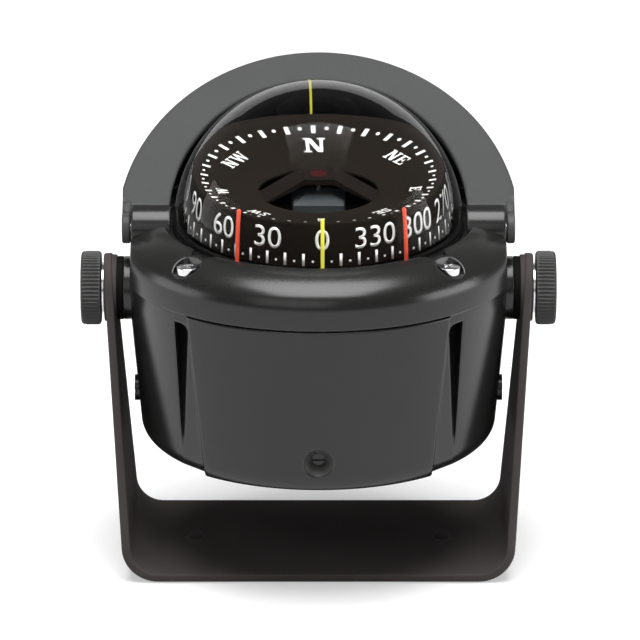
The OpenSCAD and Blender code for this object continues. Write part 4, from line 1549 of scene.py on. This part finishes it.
@dataclass
class Capsule:
    """The liquid-filled capsule: dome, gasket, bowl and the sealing parts under it.

    Attributes:
        centre_z: Height of the dome's centre.
        radius: Outer radius of the dome.
        liquid_r: Inner radius of the bowl.
        flange_r: Radius of the flanges.
        flange: Heights of the dome's flange, lower and upper face.
        floor_z: Floor of the bowl.
        bowl_r: Outer radius of the bowl.
        bowl_z: Height of the bowl's underside.
        bowl_rim: Angle in degrees where the outside meets the rim, and the rim's lower height.
        drain_r: Radius of the diaphragm's opening.
        gasket_z: Height of the gasket's top.
    """

    centre_z: float = 123.0
    radius: float = 52.0
    liquid_r: float = 50.0
    flange_r: float = 60.0
    flange: tuple[float, float] = (119.2, 121.2)
    floor_z: float = 86.0
    bowl_r: float = 52.5
    bowl_z: float = 83.0
    bowl_rim: tuple[float, float] = (-10.5, 113.5)
    drain_r: float = 14.0
    gasket_z: float = 122.18

    def level(self, z: float, radius: float) -> float:
        """Return the angle in degrees at which a circle about the dome's centre reaches a height."""
        return np.degrees(np.arcsin((z - self.centre_z) / radius))

    def lens(self) -> Patch:
        """Turn the clear body: the dome with its flange, and the liquid down to the bowl's floor.

        Below the flange the body reaches slightly into the bowl's wall, so that no film of air is left.

        Returns:
            The closed clear body.
        """
        dome = arc((0, self.centre_z), self.radius, 90, 0, 72)
        reach = self.liquid_r + 0.2
        low = self.floor_z - 0.2
        under, over = self.flange
        belly = arc((0, self.centre_z), reach, self.level(under, reach), self.level(low, reach), 40)
        flange = [(self.radius, over), (self.flange_r, over), (self.flange_r, under)]
        dome[0, 0] = 0
        return lathe(np.concatenate([dome, flange, belly, [(0, low)]]), sides=192)

    def bowl(self) -> Patch:
        """Turn the bowl under the dome, with its flange and the diaphragm's opening.

        Returns:
            The closed bowl.
        """
        middle, under, r = (0, self.centre_z), self.flange[0], self.liquid_r
        rim_angle, rim_z = self.bowl_rim
        inside = arc(middle, r, self.level(under, r), self.level(self.floor_z, r), 40)
        outside = arc(middle, self.bowl_r, self.level(self.bowl_z, self.bowl_r), rim_angle, 30)
        floor = [(self.drain_r, self.floor_z), (self.drain_r, self.bowl_z)]
        rim = [(self.flange_r, rim_z), (self.flange_r, under - 0.02)]
        return lathe(np.concatenate([inside, floor, outside, rim]), closed=True, sides=160)

    def build(self, shop: Workshop) -> None:
        """Make the dome, bowl and gasket, and dress the small sealing parts."""
        shop.piece("dome_lens", self.lens(), Look.DOME, "housing", ("dome",), 30)
        shop.piece("bowl_shell", self.bowl(), Look.BOWL, "housing", ("capsule_bowl",))
        gasket = ring(self.flange_r, self.radius + 0.4, self.flange[1] + 0.02, self.gasket_z, 0.3, sides=160)
        shop.piece("dome_gasket_ring", gasket, Look.RUBBER, "housing", ("dome_gasket",))
        shop.dress(Look.RUBBER, "capsule_seal", "diaphragm")
        shop.dress(Look.STEEL, "diaphragm_ring")
        shop.dress(Look.BRASS, "fill_plug", "pitch_pins")
        shop.dress(Look.CASE, "lamp_holder")
        shop.dress(Look.LAMP, "lamp")


@dataclass
class Gimbal:
    """The gimbal ring, the inner frame with its pedestal, and the lubber lines.

    Attributes:
        height: Height of the gimbal axes.
        ring_r: Outer and inner radius of the gimbal ring.
        ring_h: Height of the gimbal ring.
        lubber_r: Distance of the lubber lines from the middle.
        lubber_top: Height of their tops.
        yaw: Turn of the lubber lines from dead ahead in degrees.
        line_r: Radius of the front, the rear and the side lubber lines.
    """

    height: float = 117.5
    ring_r: tuple[float, float] = (44.0, 41.0)
    ring_h: float = 4.0
    lubber_r: float = 37.5
    lubber_top: float = 136.8
    yaw: float = 2.0
    line_r: tuple[float, float, float] = (0.62, 0.22, 0.72)

    def lubber(self, angle: float, radius: float) -> Patch:
        """Return one upright round-topped line at an angle from dead ahead.

        Args:
            angle: Angle in degrees, counter-clockwise from above.
            radius: Radius of the line.

        Returns:
            The closed line.
        """
        low = self.height + self.ring_h / 2
        profile = np.concatenate([
            [(0, low), (radius, low)], arc((0, self.lubber_top - radius), radius, 0, 90, 8),
        ])
        turn = turn_z(angle + self.yaw)
        return lathe(profile, sides=24).moved(turn, turn @ (0, -self.lubber_r, 0))

    def build(self, shop: Workshop) -> None:
        """Make the rings and lubber lines, and dress the pins, pedestal and weight."""
        low, high = self.height - self.ring_h / 2, self.height + self.ring_h / 2
        band = ring(*self.ring_r, low, high, 0.4, sides=160)
        shop.piece("gimbal_band", band, Look.BOWL, "gimbal_ring", ("gimbal_ring",))
        front_r, rear_r, side_r = self.line_r
        shop.piece("lubber_front_line", self.lubber(0, front_r), Look.YELLOW, "card_frame", ("lubber_front",))
        shop.piece("lubber_rear_line", self.lubber(180, rear_r), Look.YELLOW, "card_frame", ("lubber_rear",))
        pair = join(self.lubber(-45, side_r), self.lubber(45, side_r))
        shop.piece("lubber_side_lines", pair, Look.RED, "card_frame", ("lubbers_45",))
        shop.dress(Look.STEEL, "roll_pins", "pivot_post")
        shop.dress(Look.FRAME, "card_frame", "counterweight")
        shop.dress(Look.PEDESTAL, "pedestal")


# Strokes of the serif letters as four-cornered shapes in a box one unit high
LETTERS: dict[str, list[list[tuple[float, float]]]] = {
    "N": [
        [(0.10, 0), (0.24, 0), (0.24, 1), (0.10, 1)], [(0.68, 0), (0.82, 0), (0.82, 1), (0.68, 1)],
        [(0.60, 0), (0.82, 0), (0.32, 1), (0.10, 1)], [(0, 0), (0.34, 0), (0.34, 0.09), (0, 0.09)],
        [(0, 0.91), (0.30, 0.91), (0.30, 1), (0, 1)], [(0.58, 0.91), (0.92, 0.91), (0.92, 1), (0.58, 1)],
    ],
    "E": [
        [(0.10, 0), (0.30, 0), (0.30, 1), (0.10, 1)], [(0, 0), (0.80, 0), (0.80, 0.10), (0, 0.10)],
        [(0, 0.90), (0.76, 0.90), (0.76, 1), (0, 1)],
        [(0.30, 0.46), (0.58, 0.46), (0.58, 0.55), (0.30, 0.55)],
        [(0.70, 0.10), (0.80, 0.10), (0.80, 0.30), (0.74, 0.30)],
        [(0.66, 0.90), (0.76, 0.90), (0.76, 0.70), (0.70, 0.70)],
        [(0.52, 0.36), (0.58, 0.36), (0.58, 0.65), (0.52, 0.65)],
    ],
    "W": [
        [(0.08, 1), (0.26, 1), (0.44, 0), (0.32, 0)], [(0.44, 0), (0.32, 0), (0.56, 1), (0.64, 1)],
        [(0.54, 1), (0.72, 1), (0.90, 0), (0.78, 0)], [(0.90, 0), (0.78, 0), (1.04, 1), (1.12, 1)],
        [(0, 0.91), (0.36, 0.91), (0.36, 1), (0, 1)], [(0.94, 0.91), (1.20, 0.91), (1.20, 1), (0.94, 1)],
    ],
    "S": [
        [(0.10, 0), (0.66, 0), (0.60, 0.12), (0.10, 0.10)],
        [(0.52, 0.06), (0.66, 0), (0.72, 0.28), (0.56, 0.30)],
        [(0.72, 0.28), (0.56, 0.30), (0.14, 0.60), (0.24, 0.70)],
        [(0.10, 0.74), (0.26, 0.70), (0.28, 0.92), (0.14, 1)],
        [(0.14, 1), (0.66, 1), (0.66, 0.90), (0.22, 0.88)],
        [(0.06, 0), (0.14, 0), (0.14, 0.30), (0.06, 0.30)],
        [(0.60, 0.72), (0.68, 0.72), (0.68, 1), (0.60, 1)],
    ],
}


@dataclass
class Card:
    """The reading card with its printed scales.

    Attributes:
        radius: Radius of the band.
        top_z: Height of the band's top.
        band_h: Height of the band.
        wall: Thickness of the band.
        rim_z: Underside of the disc at the band.
        hub_z: Underside of the disc at its hole.
        hole_r: Radius of the disc's hole.
        yaw: Turn of the card in degrees.
        film: Thickness of the print.
        rim_w: Distance of the disc's edge from the outside of the band.
        tick: Inner and outer radius of a tick on the disc, and half its width.
        dot: Distance of a dot on the disc from the middle, and its radius.
        band_tick: Height of a tick on the band, and half its width.
        band_dot: Height of a dot over the ticks' foot, and its radius.
        letter_h: Height of N and of the other letters.
        letter_r: Distance of N and of the other letters from the middle.
        figure_h: Height of the figures on the band.
        figure_z: Height of their middle.
    """

    radius: float = 34.0
    top_z: float = 134.0
    band_h: float = 14.6
    wall: float = 0.8
    rim_z: float = 132.4
    hub_z: float = 130.6
    hole_r: float = 15.5
    yaw: float = 2.0
    film: float = 0.05
    rim_w: float = 2.4
    tick: tuple[float, float, float] = (29.2, 31.4, 0.45)
    dot: tuple[float, float] = (30.6, 0.42)
    band_tick: tuple[float, float] = (4.0, 0.42)
    band_dot: tuple[float, float] = (1.5, 0.4)
    letter_h: tuple[float, float] = (5.0, 3.4)
    letter_r: tuple[float, float] = (25.0, 25.8)
    figure_h: float = 6.9
    figure_z: float = 128.5

    def blank(self) -> Patch:
        """Turn the unprinted card: a dished disc with a deep band round it.

        Returns:
            The closed card.
        """
        low = self.top_z - self.band_h
        r, wall = self.radius, self.wall
        corners = [
            (self.hole_r, self.hub_z), (r - wall, self.rim_z), (r - wall, low), (r, low), (r, self.top_z),
            (r - wall - 0.8, self.top_z), (r - self.rim_w, self.rim_z + wall),
            (self.hole_r, self.hub_z + wall),
        ]
        return lathe(rounded(corners, (0.2, 0.3, 0.2, 0.2, 0.5, 0.3, 0.4, 0.3)), closed=True, sides=192)

    def on_disc(self, flat: Array) -> Array:
        """Lay flat (x, y) points on the disc's cone."""
        r = np.hypot(flat[..., 0], flat[..., 1])
        share = (r - self.hole_r) / (self.radius - self.rim_w - self.hole_r)
        z = self.hub_z + self.wall + share * (self.rim_z - self.hub_z) + self.film
        return np.concatenate([flat, z[..., None]], axis=-1)

    def on_band(self, flat: Array) -> Array:
        """Wrap (length, height) points round the band, with length 0 in front and + toward the right."""
        angle = flat[..., 0] / self.radius
        r = self.radius + self.film
        return np.stack([r * np.sin(angle), -r * np.cos(angle), flat[..., 1]], axis=-1)

    def disc_scale(self) -> Patch:
        """Print a bold tick at every tenth degree of the disc and a dot between two ticks.

        Returns:
            The flat print.
        """
        near, far, half_width = self.tick
        bearing = np.radians(np.arange(0, 360, 10))[:, None, None]
        across = np.array([-half_width, half_width])[None, None, :]
        out = np.array([near, far])[None, :, None]
        x = out * np.sin(bearing) + across * np.cos(bearing)
        y = out * np.cos(bearing) - across * np.sin(bearing)
        between = np.radians(np.arange(5, 360, 10))
        reach, radius = self.dot
        centres = reach * np.stack([np.sin(between), np.cos(between)], axis=-1)
        return join(grid(self.on_disc(np.stack([x, y], axis=-1))), self.dots(centres, radius, self.on_disc))

    def band_scale(self) -> Patch:
        """Print ticks and dots along the band's foot.

        Returns:
            The flat print.
        """
        height, half_width = self.band_tick
        length = np.radians(np.arange(0, 360, 10)) * self.radius
        across = np.linspace(-half_width, half_width, 3)
        low = self.top_z - self.band_h + 0.5
        rise = np.array([low, low + height])
        ticks = np.stack(np.broadcast_arrays(length[:, None, None] + across, rise[:, None]), -1)
        between = np.radians(np.arange(5, 360, 10)) * self.radius
        lift, radius = self.band_dot
        spots = np.stack([between, np.full_like(between, low + lift)], axis=-1)
        return join(grid(self.on_band(ticks)), self.dots(spots, radius, self.on_band))

    def dots(self, centres: Array, radius: float, lay: Callable[[Array], Array]) -> Patch:
        """Print round dots.

        Args:
            centres: Flat centres, shape (n, 2).
            radius: Radius of a dot.
            lay: Puts flat points on the card.

        Returns:
            The dots as fans of quads.
        """
        angle = np.linspace(0, TURN, 12, endpoint=False)
        round_ = np.stack([np.cos(angle), np.sin(angle)], axis=-1)
        reach = np.array([0.02, 1.0])[:, None, None] * radius
        return grid(lay(centres[:, None, None] + reach * round_), close_cols=True)

    def letters(self) -> Patch:
        """Print the points of the compass on the disc, with their tops outward.

        Returns:
            The flat print.
        """
        patches, gap = [], 0.12
        for number, word in enumerate(("N", "NE", "E", "SE", "S", "SW", "W", "NW")):
            kind = 0 if word == "N" else 1
            strokes, start = [], 0.0
            for letter in word:
                shape = np.array(LETTERS[letter])
                strokes.append(shape + (start, 0))
                start += shape[..., 0].max() + gap
            flat = (np.concatenate(strokes) - ((start - gap) / 2, 0.5)) * self.letter_h[kind]
            bearing = np.radians(45 * number)
            reach = flat[..., 1] + self.letter_r[kind]
            x = reach * np.sin(bearing) + flat[..., 0] * np.cos(bearing)
            y = reach * np.cos(bearing) - flat[..., 0] * np.sin(bearing)
            quads = np.stack([x, y], axis=-1)
            corners = quads[:, [0, 1, 3, 2]].reshape(-1, 2, 2, 2)
            patches.append(grid(self.on_disc(corners)))
        return join(*patches)

    def numerals(self) -> Patch:
        """Print the degrees at every thirtieth along the band.

        Returns:
            The flat print.
        """
        patches = []
        for degrees in range(0, 360, 30):
            flat, faces = figure(str(degrees), self.figure_h)
            flat = flat * (1.03, 1) + (-np.radians(degrees) * self.radius, self.figure_z)
            patches.append(Patch(self.on_band(flat), [faces]))
        return join(*patches)

    def build(self, shop: Workshop) -> None:
        """Make the card and its print, and dress the bridge, jewel and magnets."""
        turn = turn_z(self.yaw)
        shop.piece("card_disc", self.blank().moved(turn), Look.CARD, "card", ("card",))
        for name, patch in (("card_disc_scale", self.disc_scale()), ("card_points", self.letters())):
            up = patch.facing(lambda first: np.broadcast_to((0.0, 0.0, 1.0), first.shape))
            shop.piece(name, up.moved(turn), Look.PRINT, "card", film=self.film)
        for name, patch in (("card_band_scale", self.band_scale()), ("card_numerals", self.numerals())):
            out = patch.facing(lambda first: first * (1, 1, 0))
            shop.piece(name, out.moved(turn), Look.PRINT, "card", film=self.film)
        shop.dress(Look.BRIDGE, "card_bridge")
        shop.dress(Look.JEWEL, "jewel_cup")
        shop.dress(Look.STEEL, "card_magnets")


def figure(text: str, height: float) -> tuple[Array, Array]:
    """Set plain figures in the built-in face as a flat mesh.

    Args:
        text: The figures.
        height: Their height in millimetres.

    Returns:
        Points (x, y) centred on the origin, and triangles.
    """
    curve = bpy.data.curves.new("figure", "FONT")
    curve.body = text
    holder = bpy.data.objects.new("figure", curve)
    bpy.context.scene.collection.objects.link(holder)
    shown = holder.evaluated_get(bpy.context.evaluated_depsgraph_get())
    mesh = bpy.data.meshes.new_from_object(shown)
    mesh.calc_loop_triangles()
    points = np.empty(len(mesh.vertices) * 3, np.float32)
    mesh.vertices.foreach_get("co", points)
    faces = np.empty(len(mesh.loop_triangles) * 3, np.int32)
    mesh.loop_triangles.foreach_get("vertices", faces)
    bpy.data.objects.remove(holder)
    bpy.data.curves.remove(curve)
    bpy.data.meshes.remove(mesh)
    flat = points.reshape(-1, 3)[:, :2].astype(float)
    low, high = flat.min(axis=0), flat.max(axis=0)
    return (flat - (low + high) / 2) * height / (high[1] - low[1]), faces.reshape(-1, 3)


@dataclass(frozen=True)
class Softbox:
    """A rectangular lamp.

    Attributes:
        name: Name of the lamp.
        place: Its place in metres.
        aim: The point that it faces.
        size: Its width and height in metres.
        watts: Its power.
    """

    name: str
    place: tuple[float, float, float]
    aim: tuple[float, float, float]
    size: tuple[float, float]
    watts: float

    def hang(self) -> None:
        """Hang the lamp at its place and turn it to its aim."""
        data = bpy.data.lights.new(self.name, "AREA")
        data.shape = "RECTANGLE"
        data.size, data.size_y = self.size
        data.energy = self.watts
        lamp = bpy.data.objects.new(self.name, data)
        bpy.context.scene.collection.objects.link(lamp)
        away = np.array(self.place, float) - np.array(self.aim, float)
        across = np.hypot(away[0], away[1])
        lamp.location = self.place
        lamp.rotation_euler = (np.arctan2(across, away[2]), 0, np.arctan2(away[0], -away[1]))


@dataclass
class Studio:
    """Pale floor, soft lights and the camera.

    Attributes:
        camera_place: Camera position in metres.
        camera_tilt: Camera tilt from straight down in degrees.
        lens: Focal length in millimetres on a 36 mm sensor.
        shift_pixels: Sideways shift of the frame in pixels.
        floor_size: Side of the floor in metres.
        backdrop: Half width, distance and height of the backdrop in metres.
        pale: Colour of the floor and the backdrop.
        floor_glow: What lifts the floor to white where it is looked at.
        backdrop_glow: The same for the backdrop.
        sky: Strength of the surrounding light.
        boxes: The lamps.
    """

    camera_place: tuple[float, float, float] = (0.0, -1.7782, 0.6913)
    camera_tilt: float = 71.22
    lens: float = 292.66
    shift_pixels: float = 1.5
    floor_size: float = 9.0
    backdrop: tuple[float, float, float] = (1.3, 2.4, 1.3)
    pale: Color = (0.7, 0.7, 0.7)
    floor_glow: float = 0.4
    backdrop_glow: float = 0.6
    sky: float = 0.16
    boxes: tuple[Softbox, ...] = (
        Softbox("overhead_box", (0.0, -0.26, 1.6), (0.0, -0.26, 0.1), (1.1, 1.25), 36),
        Softbox("left_box", (-1.3, -0.05, 0.3), (0.0, 0.0, 0.12), (0.9, 0.55), 4.5),
        Softbox("right_box", (1.3, -0.2, 0.3), (0.0, 0.0, 0.12), (0.9, 0.55), 8),
        Softbox("front_box", (-0.6, -2.2, 1.3), (0.0, 0.0, 0.1), (2.0, 1.4), 9),
    )

    def sheet(self, name: str, corners: Sequence[Sequence[float]], glow: float) -> None:
        """Set one pale sheet that looks white, also in metal and glass, and keeps the shadow.

        Args:
            name: Name of the sheet.
            corners: Its four corners in metres.
            glow: Strength added where it is looked at.
        """
        mesh = bpy.data.meshes.new(name)
        mesh.from_pydata(corners, [], [(0, 1, 2, 3)])
        sheet = bpy.data.objects.new(name, mesh)
        bpy.context.scene.collection.objects.link(sheet)
        material, net, _ = new_material(name)
        net.tree.nodes.clear()
        path = net.add("LightPath")
        bent = net.math("MAXIMUM", path.outputs["Is Glossy Ray"], path.outputs["Is Transmission Ray"])
        seen = net.math("MAXIMUM", path.outputs["Is Camera Ray"], bent)
        matt = net.add("BsdfDiffuse", Color=self.pale + (1.0,))
        lift = net.add("Emission", Color=(1.0, 1.0, 1.0, 1.0), Strength=glow)
        lit = net.add("AddShader", in_0=matt.outputs[0], in_1=lift.outputs[0])
        mixed = net.add("MixShader", in_0=seen, in_1=matt.outputs[0], in_2=lit.outputs[0])
        net.add("OutputMaterial", Surface=mixed.outputs[0])
        mesh.materials.append(material)

    def surroundings(self) -> None:
        """Lay the floor and stand the backdrop behind it, far enough off to stay out of a turned view."""
        half, low = self.floor_size / 2, -0.0004
        floor = [(-half, -half, low), (half, -half, low), (half, half, low), (-half, half, low)]
        self.sheet("studio_floor", floor, self.floor_glow)
        wide, back, high = self.backdrop
        wall = [(-wide, back, low), (wide, back, low), (wide, back, high), (-wide, back, high)]
        self.sheet("studio_backdrop", wall, self.backdrop_glow)

    def world(self) -> None:
        """Surround the scene with even, weak light."""
        world = bpy.data.worlds.new("studio_world")
        bpy.context.scene.world = world
        world.use_nodes = True
        net = NodeTree(world.node_tree)
        net.tree.nodes.clear()
        soft = net.add("Background", Color=(1.0, 1.0, 1.0, 1.0), Strength=self.sky)
        net.add("OutputWorld", Surface=soft.outputs[0])

    def camera(self) -> None:
        """Set the camera at the viewing angle."""
        data = bpy.data.cameras.new("camera")
        data.lens = self.lens
        data.sensor_width = 36.0
        data.shift_x = self.shift_pixels / IMAGE_PIXELS
        data.clip_end = 50.0
        camera = bpy.data.objects.new("camera", data)
        camera.location = self.camera_place
        camera.rotation_euler = (np.radians(self.camera_tilt), 0, 0)
        bpy.context.scene.collection.objects.link(camera)
        bpy.context.scene.camera = camera

    def build(self) -> None:
        """Set up the surroundings, world, lights, camera and colour."""
        self.surroundings()
        self.world()
        for box in self.boxes:
            box.hang()
        self.camera()
        bpy.context.scene.view_settings.view_transform = "Standard"


def main() -> None:
    """Build the compass round its solids, piece by piece."""
    logging.basicConfig(level=logging.INFO, format="%(name)s: %(message)s")
    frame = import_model()
    shop = Workshop(frame["nodes"])
    for part in (Bracket(), ClampKnobs(), Housing(), Bezel(), Hood(), Capsule(), Gimbal(), Card()):
        part.build(shop)
        LOG.info("%s is done", type(part).__name__)
    Studio().build()


if __name__ == "__main__":
    main()
